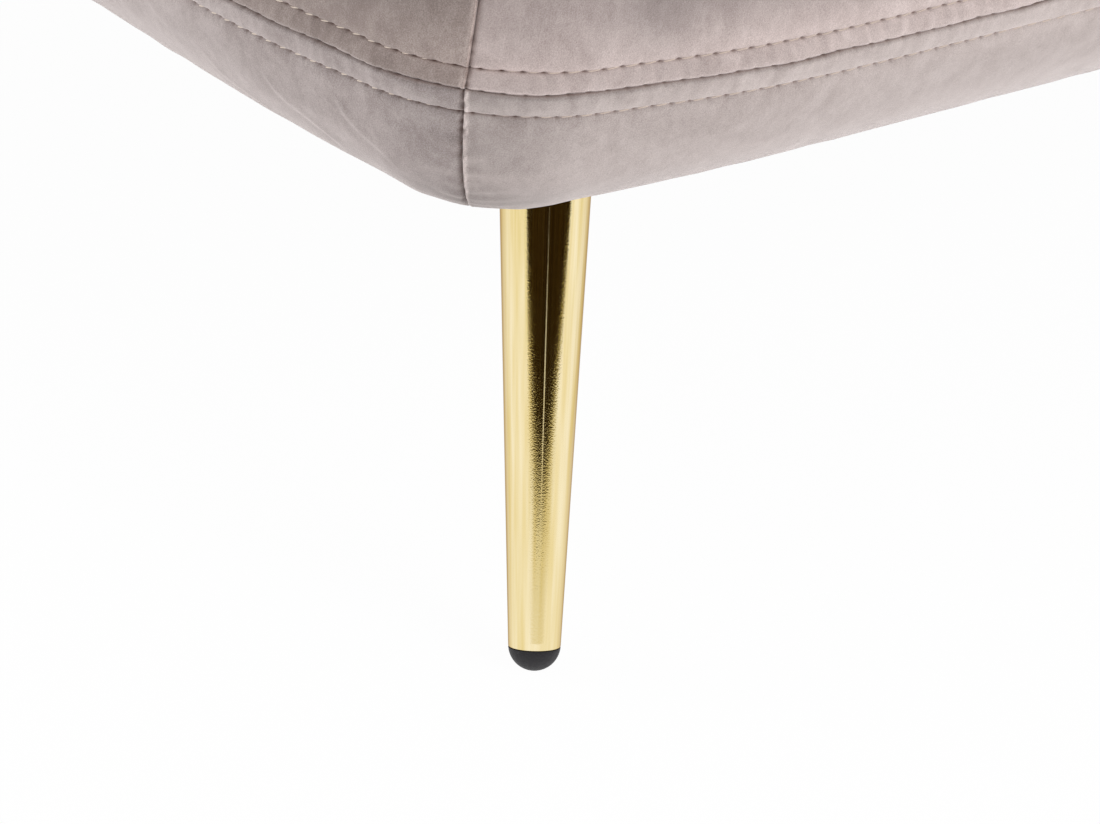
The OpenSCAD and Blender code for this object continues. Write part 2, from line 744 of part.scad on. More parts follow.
// Foam halves meet above the frame, and lie clear of it below
split_gap = soft_gap / 2;
frame_side = back_frame_t / 2 + soft_gap;
web_side = frame_side + web_t + soft_gap;
foam_cut_gap = 3;
foam_cut_drop = frame_drop - foam_cut_gap;
last_station = len(back_stations) - 1;
foam_stations = [
    for (i = [0:last_station])
        let (s = back_stations[i], shift = i == 0 ? soft_gap : i == last_station ? soft_gap : 0)
        [s[0], s[1] + shift, s[2], s[3]]
];
function foam_skin(side, way, s) = [
    for (q = half_section(side, s, foam_t))
        [way * max(way * q.x, split_gap), max(z_back + soft_gap, q.y)]
];
function foam_seat(way, side, s) =
    let (step = z_back + s[2] - foam_cut_drop)
    [[way * split_gap, step], [way * side, step], [way * side, z_back + soft_gap]];
module back_outer_foam() {
    color(foam_color) loft([
        for (s = foam_stations)
            [for (q = concat(foam_skin(outer_side, 1, s), foam_seat(1, frame_side, s)))
                back_point(s, q.x, q.y)]
    ]);
}
module back_inner_foam() {
    color(foam_color) loft([
        for (s = foam_stations)
            [for (q = concat(foam_skin(inner_side, -1, s), reverse(foam_seat(-1, web_side, s))))
                back_point(s, q.x, q.y)]
    ]);
}

// End facings close the back at its nose and at its front end
facing_bulge = 3;
function facing_ring(s, share) =
    let (p = section(s, 0), mid = [(back_outer - back_inner) / 2 * s[3], z_back + s[2] / 2])
    [for (q = p) let (v = mix(mid, q, share)) back_point(s, v.x, v.y)];
function moved(points, v) = [for (p = points) p + v];
module facing(s, way, flip) {
    flat_ring = facing_ring(s, 1);
    edge_ring = moved(flat_ring, way * cover_t);
    crown_ring = moved(facing_ring(s, 0.8), way * (cover_t + facing_bulge));
    inside = centre_of(flat_ring);
    outside = centre_of(crown_ring) + way * facing_bulge / 3;
    color(velvet) if (flip) stack([crown_ring, edge_ring, flat_ring], outside, inside);
    else stack([flat_ring, edge_ring, crown_ring], inside, outside);
}
module nose_facing() facing(back_stations[0], [-1, 0, 0], true);
module front_facing() facing(back_stations[last_station], [0, -1, 0], false);

// Frame of the back: four posts screwed to the rails, with a lower and an upper rail between each pair
rear_table = [for (s = back_stations) if (s[0] == "rear") [s[1], s[2]]];
head_table = reverse([for (s = back_stations) if (s[0] == "head") [s[1], s[2]]]);
function rear_top(x) = z_back + lookup(x, rear_table) - frame_drop;
function head_top(y) = z_back + lookup(y, head_table) - frame_drop;
nose_post_inset = 70;
nose_step = round((nose_x + nose_post_inset - spring_low_x) / spring_step - 0.5);
nose_post_x = spring_x(nose_step + 0.5) - post_width / 2;
rear_post_x = arc_x - post_width;
head_post_y = arc_y - post_width;
front_post_y = -(half_w - inner_inset) + soft_gap;
face_y = back_y - back_frame_t / 2;
face_x = back_x - back_frame_t / 2;
module rear_post(x, top) {
    color(wood) difference() {
        translate([x, face_y, block_top]) cube([post_width, back_frame_t, top - block_top]);
        rear_screw_holes();
    }
}
module head_post(y, top) {
    color(wood) difference() {
        translate([face_x, y, block_top]) cube([back_frame_t, post_width, top - block_top]);
        head_screw_holes();
    }
}
module back_post_nose() rear_post(nose_post_x, rear_top(nose_post_x));
module back_post_rear() rear_post(rear_post_x, rear_top(arc_x));
module back_post_head() head_post(head_post_y, rear_top(arc_x));
module back_post_front() head_post(front_post_y, head_top(front_post_y));

// The velvet, the foam and the felt have openings where the posts pass
module post_holes() {
    size = post_width + 2 * post_gap;
    depth = back_frame_t + 2 * post_gap;
    height = z_crown - block_top;
    for (x = [nose_post_x, rear_post_x])
        translate([x - post_gap, face_y - post_gap, block_top]) cube([size, depth, height]);
    for (y = [head_post_y, front_post_y])
        translate([face_x - post_gap, y - post_gap, block_top]) cube([depth, size, height]);
}

// Post screws go through the posts into the rails
post_screw_bite = 20;
post_screw_head_t = 3;
post_screw_z = (block_top + rail_top) / 2;
module rear_screw_lines() {
    for (x = [nose_post_x, rear_post_x], z = [-1, 1])
        translate([x + post_width / 2, face_y, post_screw_z + z * post_screw_spacing / 2])
            rotate([-90, 0, 0]) children();
}
module head_screw_lines() {
    for (y = [head_post_y, front_post_y], z = [-1, 1])
        translate([face_x, y + post_width / 2, post_screw_z + z * post_screw_spacing / 2])
            rotate([0, 90, 0]) children();
}
module post_screw_hole() {
    translate([0, 0, -cut])
        cylinder(
            d = post_screw_d + 2 * stud_gap, $fn = round_fn,
            h = back_frame_t + post_screw_bite + cut + hole_spare
        );
}
module rear_screw_holes() rear_screw_lines() post_screw_hole();
module head_screw_holes() head_screw_lines() post_screw_hole();
module post_screw() {
    translate([0, 0, -post_screw_head_t]) {
        cylinder(d = 2 * post_screw_d, h = post_screw_head_t, $fn = round_fn);
        cylinder(d = post_screw_d, h = post_screw_head_t + back_frame_t + post_screw_bite, $fn = round_fn);
    }
}
module post_screws() {
    color(steel) {
        rear_screw_lines() post_screw();
        head_screw_lines() post_screw();
    }
}

// Rails of the back
lower_rail_gap = 2;
lower_rail_z = z_back + lower_rail_gap;
module back_rear_bottom_rail() {
    x = nose_post_x + post_width;
    color(wood) translate([x, face_y, lower_rail_z]) cube([rear_post_x - x, back_frame_t, back_rail_height]);
}
module back_rear_top_rail() {
    low = nose_post_x + post_width;
    xs = concat([low], [for (x = rear_xs) if (x > low && x < rear_post_x) x], [rear_post_x]);
    outline = concat(
        [for (x = xs) [x, rear_top(x)]], [for (x = reverse(xs)) [x, rear_top(x) - back_rail_height]]
    );
    color(wood) translate([0, face_y + back_frame_t, 0]) rotate([90, 0, 0]) linear_extrude(back_frame_t)
        polygon(outline);
}
module back_head_bottom_rail() {
    y = front_post_y + post_width;
    color(wood) translate([face_x, y, lower_rail_z]) cube([back_frame_t, head_post_y - y, back_rail_height]);
}
module back_head_top_rail() {
    low = front_post_y + post_width;
    ys = concat([low], [for (y = reverse(head_ys)) if (y > low && y < head_post_y) y], [head_post_y]);
    outline = concat(
        [for (y = ys) [y, head_top(y)]], [for (y = reverse(ys)) [y, head_top(y) - back_rail_height]]
    );
    color(wood) translate([face_x, 0, 0]) rotate([90, 0, 90]) linear_extrude(back_frame_t) polygon(outline);
}

// Bent board that joins the two halves of the frame round the rear corner
corner_board_t = 18;
module back_corner_board() {
    height = rear_top(arc_x) - lower_rail_z;
    color(wood) translate([arc_x, arc_y, lower_rail_z]) rotate_extrude(angle = 90, $fn = 96)
        translate([back_corner_r - corner_board_t / 2, 0]) square([corner_board_t, height]);
}

// Webs stretched over the sitter's side of the frame, from the lower to the upper rail
web_xs = [for (x = rear_xs) if (x > nose_post_x + 2 * post_width && x < rear_post_x - post_width) x];
web_shares = [0.18, 0.5, 0.82];
web_ys = [for (t = web_shares) mix(front_post_y + post_width, head_post_y, t)];
module back_webbing() {
    color("#d8d2c4") {
        for (x = web_xs) {
            top = min(rear_top(x - web_width / 2), rear_top(x + web_width / 2));
            translate([x - web_width / 2, face_y - web_t, lower_rail_z])
                cube([web_width, web_t, top - lower_rail_z]);
        }
        for (y = web_ys) {
            top = min(head_top(y - web_width / 2), head_top(y + web_width / 2));
            translate([face_x - web_t, y - web_width / 2, lower_rail_z])
                cube([web_t, web_width, top - lower_rail_z]);
        }
    }
}

front_rail();
rear_rail();
foot_rail();
head_rail();
cross_rail_foot();
cross_rail_middle();
cross_rail_head();
corner_block("front", "foot");  // corner_block_front_foot
corner_block("rear", "foot");  // corner_block_rear_foot
corner_block("front", "head");  // corner_block_front_head
corner_block("rear", "head");  // corner_block_rear_head
seat_springs();
spring_clips();
spring_felt();
border_foam();
seat_foam();
front_border();
rear_border();
foot_border();
head_border();
front_lower_band();
rear_lower_band();
foot_lower_band();
head_lower_band();
seat_top_cover();
dust_cover();
leg("front", "foot");  // leg_front_foot
leg("rear", "foot");  // leg_rear_foot
leg("front", "head");  // leg_front_head
leg("rear", "head");  // leg_rear_head
leg_stud("front", "foot");  // leg_stud_front_foot
leg_stud("rear", "foot");  // leg_stud_rear_foot
leg_stud("front", "head");  // leg_stud_front_head
leg_stud("rear", "head");  // leg_stud_rear_head
rubber_foot("front", "foot");  // rubber_foot_front_foot
rubber_foot("rear", "foot");  // rubber_foot_rear_foot
rubber_foot("front", "head");  // rubber_foot_front_head
rubber_foot("rear", "head");  // rubber_foot_rear_head
leg_plate("front", "foot");  // leg_plate_front_foot
leg_plate("rear", "foot");  // leg_plate_rear_foot
leg_plate("front", "head");  // leg_plate_front_head
leg_plate("rear", "head");  // leg_plate_rear_head
plate_screws();
back_post_nose();
back_post_rear();
back_post_head();
back_post_front();
post_screws();
back_rear_bottom_rail();
back_rear_top_rail();
back_head_bottom_rail();
back_head_top_rail();
back_corner_board();
back_webbing();
back_inner_foam();
back_outer_foam();
back_inner_cover();
back_outer_cover();
nose_facing();
front_facing();
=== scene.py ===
import math
import bpy
import numpy as np
from mathutils import Matrix, Vector
from mathutils.bvhtree import BVHTree


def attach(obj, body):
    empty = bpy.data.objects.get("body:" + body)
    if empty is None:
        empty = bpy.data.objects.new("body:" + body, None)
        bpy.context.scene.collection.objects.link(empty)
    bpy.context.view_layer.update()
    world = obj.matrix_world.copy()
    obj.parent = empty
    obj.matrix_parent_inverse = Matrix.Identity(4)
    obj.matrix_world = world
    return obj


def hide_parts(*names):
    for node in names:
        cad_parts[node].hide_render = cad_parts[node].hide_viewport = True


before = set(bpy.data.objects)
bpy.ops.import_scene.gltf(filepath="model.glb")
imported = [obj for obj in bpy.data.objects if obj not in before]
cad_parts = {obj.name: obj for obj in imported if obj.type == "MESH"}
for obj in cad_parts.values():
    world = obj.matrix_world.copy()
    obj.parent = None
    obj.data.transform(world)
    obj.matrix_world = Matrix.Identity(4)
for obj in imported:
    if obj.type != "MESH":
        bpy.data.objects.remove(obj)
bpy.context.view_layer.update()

# Chaise longue in velvet. Lengths in the dictionaries are millimetres, as an upholsterer would give them,
# and meshes are made in metres. X runs to the head end, Y to the rear, Z up from the floor.
mm = 0.001

# Each uneven wave and each draw has its own number, so that every run gives the same cloth
seeds = dict(
    seatStitch=5, notch=7, panel=11, cornerWobble=17, cornerDepth=23, cornerPartingShade=29, cornerHighlight=31,
    border=41, borderDrift=51, corner=61, seatEdge=71, fold=97, backOuter=131, backInner=139, band=141,
    bandDrift=151, backCrease=151, dustX=201, dustY=202, dustPull=203, pulls=300,
)


def addObject(name, data):
    obj = bpy.data.objects.new(name, data)
    bpy.context.scene.collection.objects.link(obj)
    return obj


# Camera: looks down on the lower corner of the foot end, as in the photograph; its angles are in degrees
camera = dict(
    distance=1367.0, pitch=27.48, azimuth=-40.63, roll=5.14, sideShift=29.0, upShift=-52.0,
    corner=(-751.0, -331.0, 178.0), focalPixels=4500.0, widthPixels=1100.0, sensor=36.0,
)


def makeCamera():
    azimuth, pitch, roll = (math.radians(camera[key]) for key in ("azimuth", "pitch", "roll"))
    level = math.cos(pitch)
    back = Vector((math.sin(azimuth) * level, -math.cos(azimuth) * level, math.sin(pitch)))
    right = Vector((math.cos(azimuth), math.sin(azimuth), 0))
    up = back.cross(right)
    place = Vector(camera["corner"]) + back * camera["distance"]
    place += right * camera["sideShift"] + up * camera["upShift"]
    turnedRight = right * math.cos(roll) + up * math.sin(roll)
    turnedUp = up * math.cos(roll) - right * math.sin(roll)
    data = bpy.data.cameras.new("camera")
    data.sensor_width = camera["sensor"]
    data.lens = camera["focalPixels"] / camera["widthPixels"] * camera["sensor"]
    data.clip_start, data.clip_end = 0.05, 100  # metres
    obj = addObject("camera", data)
    turn = Matrix((turnedRight, turnedUp, back)).transposed().to_4x4()
    obj.matrix_world = Matrix.Translation(place * mm) @ turn
    bpy.context.scene.camera = obj


makeCamera()
print("camera made")


# Mesh helpers
def gridQuads(rows, cols, closed=False, flip=False):
    r = np.arange(rows - 1)[:, None]
    c = np.arange(cols if closed else cols - 1)[None, :]
    a, b = r * cols + c, r * cols + (c + 1) % cols
    quads = np.stack([a, b, b + cols, a + cols], axis=-1).reshape(-1, 4)
    return quads[:, ::-1] if flip else quads


def makePiece(name, points, quads, material, partedShade=None, lie=None, local=None):
    # points in millimetres; the two velvet masks darken seams and stitch holes (parted pile and painted
    # shade) and lighten or darken by the nap's lie with painted light and shade; local is a leg's own axes
    mesh = bpy.data.meshes.new(name)
    points = np.asarray(points, float).reshape(-1, 3) * mm
    corners = quads.astype(np.int32).ravel()
    mesh.vertices.add(len(points))
    mesh.vertices.foreach_set("co", points.astype(np.float32).ravel())
    mesh.loops.add(len(corners))
    mesh.loops.foreach_set("vertex_index", corners)
    mesh.polygons.add(len(quads))
    mesh.polygons.foreach_set("loop_start", np.arange(0, len(corners), 4, dtype=np.int32))
    mesh.update(calc_edges=True)
    mesh.validate()
    mesh.polygons.foreach_set("use_smooth", np.ones(len(mesh.polygons), bool))
    for label, values in (("partedShade", partedShade), ("lie", lie)):
        if values is not None:
            layer = mesh.attributes.new(label, "FLOAT", "POINT")
            layer.data.foreach_set("value", np.clip(values, -1, 2).astype(np.float32).ravel())
    if local is not None:
        layer = mesh.attributes.new("local", "FLOAT_VECTOR", "POINT")
        layer.data.foreach_set("vector", (local * mm).astype(np.float32).ravel())
    mesh.materials.append(material)
    obj = addObject(name, mesh)
    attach(obj, "root")
    return obj


def makeCover(name, node, grid, look, partedShade=None, lie=None, closed=False, flip=False, fill=0.9):
    # A padded piece of velvet that takes the place of the frame's plain cover
    quads = gridQuads(*grid.shape[:2], closed=closed, flip=flip)
    piece = makePiece(name, grid, quads, look, partedShade, lie)
    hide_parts(node)


def gridNormals(grid, flip=False):
    du = np.gradient(grid, axis=1)
    dv = np.gradient(grid, axis=0)
    n = np.cross(du, dv) * (-1 if flip else 1)
    return n / np.maximum(np.linalg.norm(n, axis=-1, keepdims=True), 1e-9)


def cubicWeights(positions, count):
    # Catmull-Rom weights from a row of evenly spaced values to any positions along it
    positions = np.clip(positions, 0, count - 1 - 1e-9)
    base = np.floor(positions).astype(int)
    f = positions - base
    parts = [
        -0.5 * f + f**2 - 0.5 * f**3, 1 - 2.5 * f**2 + 1.5 * f**3,
        0.5 * f + 2 * f**2 - 1.5 * f**3, -0.5 * f**2 + 0.5 * f**3,
    ]
    weights = np.zeros((len(positions), count))
    for k, part in enumerate(parts):
        np.add.at(weights, (np.arange(len(positions)), np.clip(base + k - 1, 0, count - 1)), part)
    return weights


def smoothGrid(values, times):
    for _ in range(times):
        padded = np.pad(values, ((1, 1), (1, 1), (0, 0)), mode="edge")
        beside = padded[:-2, 1:-1] + padded[2:, 1:-1] + padded[1:-1, :-2] + padded[1:-1, 2:]
        values = (2 * values + beside) / 6
    return values


def bump(x, width):
    # One at x = 0, and next to nothing two widths away
    return np.exp(-((x / width) ** 2))


def ramp(x, start, end):
    # Rises from 0 to 1 between start and end, or falls where end is the lower one
    return np.clip((x - start) / (end - start), 0, 1)


def smoothStep(share):
    return share * share * (3 - 2 * share)


def lengthAlong(points):
    steps = np.linalg.norm(np.diff(points, axis=0), axis=1)
    return np.concatenate([[0], np.cumsum(steps)])


def softWave(x, wavelengths, seed):
    # A repeatable uneven wave between about -1 and 1
    random = np.random.RandomState(seed)
    total = np.zeros(np.shape(x))
    for wavelength in wavelengths:
        total = total + np.sin(2 * math.pi * (x / wavelength + random.rand()))
    return total / math.sqrt(len(wavelengths))


def spacedAlong(length, steps):
    # Places from 0 to length: steps are (reach, spacing), and both ends get the same fine spacing
    places = [0.0]
    for reach, spacing in steps:
        while places[-1] + spacing < min(reach, length / 2):
            places.append(places[-1] + spacing)
    fine, last = np.array(places[:-1]), places[-1]
    count = max(2, int((length - 2 * last) / steps[-1][1]))
    return np.concatenate([fine, np.linspace(last, length - last, count), length - fine[::-1]])


# Cloth: each panel is held at its seams and blown out a little, and its creases are kept
cloth = dict(
    pressure=3.0, slack=0.02, sideSlack=0.01, mass=0.25, stretch=12.0, shearShare=0.4, bending=0.8,
    quality=5, frames=20, cellSize=9.0, seatCells=1.6, backCells=1.3,  # coarser on the seat and the back
    sideCap=6.0, seatCap=10.0, backCap=9.0,  # how far a point may move
    sideShare=0.28, bandShare=0.3, evenShare=0.06, evenPasses=4,
)


def simulatedMove(name, points, cap, slack, turned=False, held=False):
    # How far each point of a grid moves, in millimetres: its edges stay, and so do the points in held.
    # A turned grid goes in with its rows the other way round, so that it is blown outwards.
    rows, cols = points.shape[:2]
    points = points[::-1] if turned else points
    pinned = np.pad(np.zeros((rows - 2, cols - 2), bool), 1, constant_values=True) | held
    mesh = bpy.data.meshes.new(name)
    mesh.from_pydata((points.reshape(-1, 3) * mm).tolist(), [], gridQuads(rows, cols).tolist())
    mesh.update()
    obj = addObject(name, mesh)
    group = obj.vertex_groups.new(name="seams")
    group.add(np.flatnonzero(pinned.ravel()).tolist(), 1.0, "ADD")
    modifier = obj.modifiers.new("cloth", "CLOTH")
    settings = modifier.settings
    settings.quality = cloth["quality"]
    settings.mass = cloth["mass"]
    settings.tension_stiffness = settings.compression_stiffness = cloth["stretch"]
    settings.shear_stiffness = cloth["stretch"] * cloth["shearShare"]
    settings.bending_stiffness = cloth["bending"]
    settings.use_pressure = True
    settings.uniform_pressure_force = cloth["pressure"]
    settings.shrink_min = -slack
    settings.vertex_group_mass = "seams"
    settings.effector_weights.gravity = 0
    modifier.collision_settings.use_collision = False
    modifier.collision_settings.use_self_collision = False
    modifier.point_cache.frame_start = 1
    modifier.point_cache.frame_end = cloth["frames"]
    for f in range(1, cloth["frames"] + 1):
        bpy.context.scene.frame_set(f)
    moved = obj.evaluated_get(bpy.context.evaluated_depsgraph_get()).to_mesh()
    co = np.empty(len(moved.vertices) * 3, np.float32)
    moved.vertices.foreach_get("co", co)
    shift = co.reshape(rows, cols, 3).astype(float) / mm - points
    bpy.data.objects.remove(obj)
    bpy.data.meshes.remove(mesh)
    bpy.context.scene.frame_set(1)
    length = np.linalg.norm(shift, axis=-1, keepdims=True)
    shift = np.nan_to_num(shift * np.minimum(1, cap / np.maximum(length, 1e-6)))
    print("cloth", name, "largest move", round(float(length.max()), 2), "mm")
    return shift[::-1] if turned else shift


def carriedOver(shift, rowPlaces, colPlaces):
    # The coarse cloth's moves at the rows and columns of a finer grid, whose places on it run from 0 to 1
    rows, cols = shift.shape[:2]
    rowWeights = cubicWeights(rowPlaces * (rows - 1), rows)
    colWeights = cubicWeights(colPlaces * (cols - 1), cols)
    moves = np.einsum("ar,rcx,bc->abx", rowWeights, shift, colWeights)
    return moves * ((rowPlaces >= 0) & (rowPlaces <= 1))[:, None, None]


# Materials
def newMaterial(name):
    material = bpy.data.materials.new(name)
    material.use_nodes = True
    tree = material.node_tree
    return material, tree, tree.nodes["Principled BSDF"]


def srgb(r, g, b):
    def linear(v):
        v /= 255
        return v / 12.92 if v <= 0.04045 else ((v + 0.055) / 1.055) ** 2.4
    return (linear(r), linear(g), linear(b), 1)


def feed(tree, node, inputs):
    # Each input takes either a value of its own or a link from another node's output
    for key, value in inputs.items():
        if isinstance(value, bpy.types.NodeSocket):
            tree.links.new(value, node.inputs[key])
        else:
            node.inputs[key].default_value = value
    return node


def addNode(tree, kind, inputs=None, **settings):
    node = tree.nodes.new(kind)
    for key, value in settings.items():
        setattr(node, key, value)
    return feed(tree, node, inputs or {})


def newGroup(name, inputs, outputs):
    # Inputs are given by their default values, and each output is one value
    group = bpy.data.node_groups.new(name, "ShaderNodeTree")
    for label, value in inputs.items():
        kind = "NodeSocketVector" if isinstance(value, tuple) else "NodeSocketFloat"
        group.interface.new_socket(label, in_out="INPUT", socket_type=kind).default_value = value
    for label in outputs:
        group.interface.new_socket(label, in_out="OUTPUT", socket_type="NodeSocketFloat")
    return group, group.nodes.new("NodeGroupInput"), group.nodes.new("NodeGroupOutput")


def addNoise(tree, vector, scale, detail, rough=0.55, distort=0.0):
    inputs = {"Vector": vector, "Scale": scale, "Detail": detail, "Roughness": rough}
    return addNode(tree, "ShaderNodeTexNoise", {**inputs, "Distortion": distort}).outputs["Fac"]


def addMapping(tree, vector, scale):
    return addNode(tree, "ShaderNodeMapping", {"Vector": vector, "Scale": scale}).outputs["Vector"]


def addBump(tree, height, strength, distance):
    inputs = {"Height": height, "Strength": strength, "Distance": distance}
    return addNode(tree, "ShaderNodeBump", inputs).outputs["Normal"]


def addMath(tree, operation, *values, clamp=False):
    inputs = dict(enumerate(values))
    return addNode(tree, "ShaderNodeMath", inputs, operation=operation, use_clamp=clamp).outputs[0]


def addCentred(tree, value, gain, base=0.5, clamp=False):
    # base plus gain times what value is above one half
    return addMath(tree, "MULTIPLY_ADD", addMath(tree, "SUBTRACT", value, 0.5), gain, base, clamp=clamp)


def addMix(tree, factor, a, b):
    return addNode(tree, "ShaderNodeMix", {0: factor, 6: a, 7: b}, data_type="RGBA").outputs[2]


def addShaderMix(tree, factor, a, b):
    return addNode(tree, "ShaderNodeMixShader", {0: factor, 1: a, 2: b}).outputs[0]


# Velvet nap: soft blotches where the pile lies another way, short strokes, fine grain and wide clouds.
# Each layer has its scale, detail, roughness, distortion and share of the tone.
napLayers = dict(
    Blotches=(90.0, 3.0, 0.6, 0.6, 0.5), Strokes=(260.0, 4.0, 0.65, 0.3, 0.4),
    Grain=(2600.0, 2.0, 0.6, 0.0, 0.9), Clouds=(9.0, 2.0, 0.55, 0.0, 0.4),
)
napRelief = dict(strokeStretch=0.55, grainShare=0.6, strokeShare=0.8)


def makeNapGroup():
    sizes = {name: layer[0] for name, layer in napLayers.items()}
    group, given, out = newGroup("velvetNap", {**sizes, "Contrast": 0.5}, ["Nap", "Height"])
    place = addNode(group, "ShaderNodeTexCoord").outputs["Object"]
    stretched = addMapping(group, place, (1.0, 1.0, napRelief["strokeStretch"]))
    layers, total = {}, 0.5
    for name, (_, detail, rough, distort, share) in napLayers.items():
        vector = stretched if name == "Strokes" else place
        layers[name] = addNoise(group, vector, given.outputs[name], detail, rough, distort)
        total = addCentred(group, layers[name], share, total)
    nap = addCentred(group, total, given.outputs["Contrast"], clamp=True)
    height = addMath(group, "MULTIPLY", layers["Strokes"], napRelief["strokeShare"])
    height = addMath(group, "MULTIPLY_ADD", layers["Grain"], napRelief["grainShare"], height)
    feed(group, out, {"Nap": nap, "Height": height})
    return group


napGroup = makeNapGroup()

# dark and light are the nap's own tones; the colour also takes a painted sheen and, in the seams, painted
# shade
velvet = dict(
    contrast=1.9, endContrast=1.55, roughness=(0.65, 0.85), specular=0.15, bump=0.38, bumpDistance=0.0005,
    dark=(147, 133, 129), light=(185, 172, 168), seamShadeTone=(98, 74, 64), seamShadeShare=0.8,
    sheen=1.0, sheenRoughness=0.5, sheenTint=(250, 240, 238),
    lieGain=0.4, paintedSheenBase=0.72, paintedSheenSlope=0.85, paintedSheenMost=1.05,
)


def velvetMaterial(name, shadeAndLay, contrast):
    # the panel's tone: partly the way its nap lies, partly painted light and shade for how the light falls
    # on that face
    material, tree, shader = newMaterial(name)
    nap = addNode(tree, "ShaderNodeGroup", {"Contrast": contrast}, node_tree=napGroup).outputs
    dark, light = (
        tuple(v * k for v, k in zip(srgb(*velvet[tone]), shadeAndLay)) + (1,) for tone in ("dark", "light")
    )
    colour = addMix(tree, nap["Nap"], dark, light)
    relief = addBump(tree, nap["Height"], velvet["bump"], velvet["bumpDistance"])
    # painted sheen: darker where the surface faces the camera, lighter where it is seen at a slant; the
    # nap's lie mask adds painted light and shade
    sheenFacing = addNode(tree, "ShaderNodeLayerWeight", {"Blend": 0.5, "Normal": relief}).outputs["Facing"]
    gain = addMath(tree, "MULTIPLY_ADD", sheenFacing, velvet["paintedSheenSlope"], velvet["paintedSheenBase"])
    gain = addMath(tree, "MINIMUM", gain, velvet["paintedSheenMost"])
    lie = addNode(tree, "ShaderNodeAttribute", attribute_name="lie").outputs["Fac"]
    gain = addMath(tree, "MULTIPLY", gain, addMath(tree, "MULTIPLY_ADD", lie, velvet["lieGain"], 1.0))
    sheenScaled = addNode(tree, "ShaderNodeVectorMath", operation="SCALE")
    colour = feed(tree, sheenScaled, {0: colour, "Scale": gain}).outputs[0]
    # in seam grooves, along the stitches and at their holes the colour darkens: partly the pile's darker
    # ground where it is parted, partly painted shade
    partedShade = addNode(tree, "ShaderNodeAttribute", attribute_name="partedShade").outputs["Fac"]
    partedShadeAmount = addMath(tree, "MULTIPLY", partedShade, velvet["seamShadeShare"], clamp=True)
    low, high = velvet["roughness"]
    feed(tree, shader, {
        "Base Color": addMix(tree, partedShadeAmount, colour, srgb(*velvet["seamShadeTone"])),
        "Roughness": addMath(tree, "MULTIPLY_ADD", nap["Nap"], low - high, high),
        "Sheen Weight": velvet["sheen"], "Sheen Roughness": velvet["sheenRoughness"],
        "Sheen Tint": srgb(*velvet["sheenTint"]), "Specular IOR Level": velvet["specular"],
        "Normal": relief,
    })
    return material


velvetLook = velvetMaterial("velvet", (1.0, 1.0, 1.0), velvet["contrast"])
# Lit and shaded copies of the velvet: painted light and shade for each face, with the way its nap lies
panelShadesAndLays = dict(
    velvetSideBorder=(0.91, 0.91, 0.92), velvetEndBorder=(0.67, 0.65, 0.63),
    velvetSideBand=(1.0, 1.03, 1.04), velvetEndBand=(0.91, 0.93, 0.95),
)
panelLooks = {}
for look, shadeAndLay in panelShadesAndLays.items():
    contrast = velvet["contrast"] * (velvet["endContrast"] if "End" in look else 1)
    panelLooks[look] = velvetMaterial(look, shadeAndLay, contrast)

gold = dict(
    pale=(249, 234, 193), deep=(234, 212, 148), edgeTint=(190, 170, 146), roughness=(0.03, 0.06),
    stretch=0.02, brushScale=900.0, brushShare=1.2, cloudScale=60.0, bandScale=300.0, bandContrast=3.2,
    ripple=0.036, rippleDepth=0.00019, rippleScale=2000.0,
)


def goldMaterial():
    material, tree, shader = newMaterial("goldMetal")
    # the tube is drawn along its own axis, so its fine lines follow each leg
    place = addNode(tree, "ShaderNodeAttribute", attribute_name="local").outputs["Vector"]
    along = addMapping(tree, place, (1.0, 1.0, gold["stretch"]))
    brushed = addNoise(tree, along, gold["brushScale"], 3.0)
    cloud = addNoise(tree, place, gold["cloudScale"], 2.0)
    bands = addNoise(tree, along, gold["bandScale"], 2.0)
    tone = addCentred(tree, bands, gold["bandContrast"], clamp=True)
    ripple = addNoise(tree, place, gold["rippleScale"], 1.0)
    height = addMath(tree, "MULTIPLY_ADD", brushed, gold["brushShare"], ripple)
    low, high = gold["roughness"]
    feed(tree, shader, {
        "Base Color": addMix(tree, tone, srgb(*gold["deep"]), srgb(*gold["pale"])), "Metallic": 1.0,
        "Roughness": addMath(tree, "MULTIPLY_ADD", cloud, high - low, low),
        "Specular Tint": srgb(*gold["edgeTint"]),
        "Normal": addBump(tree, height, gold["ripple"], gold["rippleDepth"]),
    })
    return material


goldLook = goldMaterial()

# The plainer materials: two tones mixed by one grain, which also gives the fine relief
grain = dict(detail=4.0, contrast=2.2, depth=0.0008)
plainRecipes = dict(
    blackRubber=dict(
        dark=(21, 19, 23), light=(35, 32, 37), scale=700.0, roughness=(0.5, 0.65), relief=0.15),
    zincSteel=dict(
        dark=(150, 152, 156), light=(196, 198, 202), scale=400.0, roughness=(0.28, 0.42), relief=0.08,
        metallic=1.0),
    timber=dict(
        dark=(176, 136, 92), light=(216, 182, 136), scale=60.0, roughness=(0.55, 0.7), relief=0.25,
        stretch=(1.0, 8.0, 8.0)),
    foam=dict(
        dark=(222, 212, 168), light=(242, 236, 204), scale=900.0, roughness=(0.8, 0.95), relief=0.4),
    greyFelt=dict(
        dark=(92, 92, 96), light=(132, 131, 134), scale=500.0, roughness=(0.85, 0.95), relief=0.4),
    webbing=dict(
        dark=(188, 178, 158), light=(226, 220, 206), scale=600.0, roughness=(0.7, 0.85), relief=0.4,
        stretch=(1.0, 1.0, 6.0)),
    dustCloth=dict(
        dark=(34, 34, 36), light=(62, 62, 66), scale=800.0, roughness=(0.8, 0.95), relief=0.3),
)


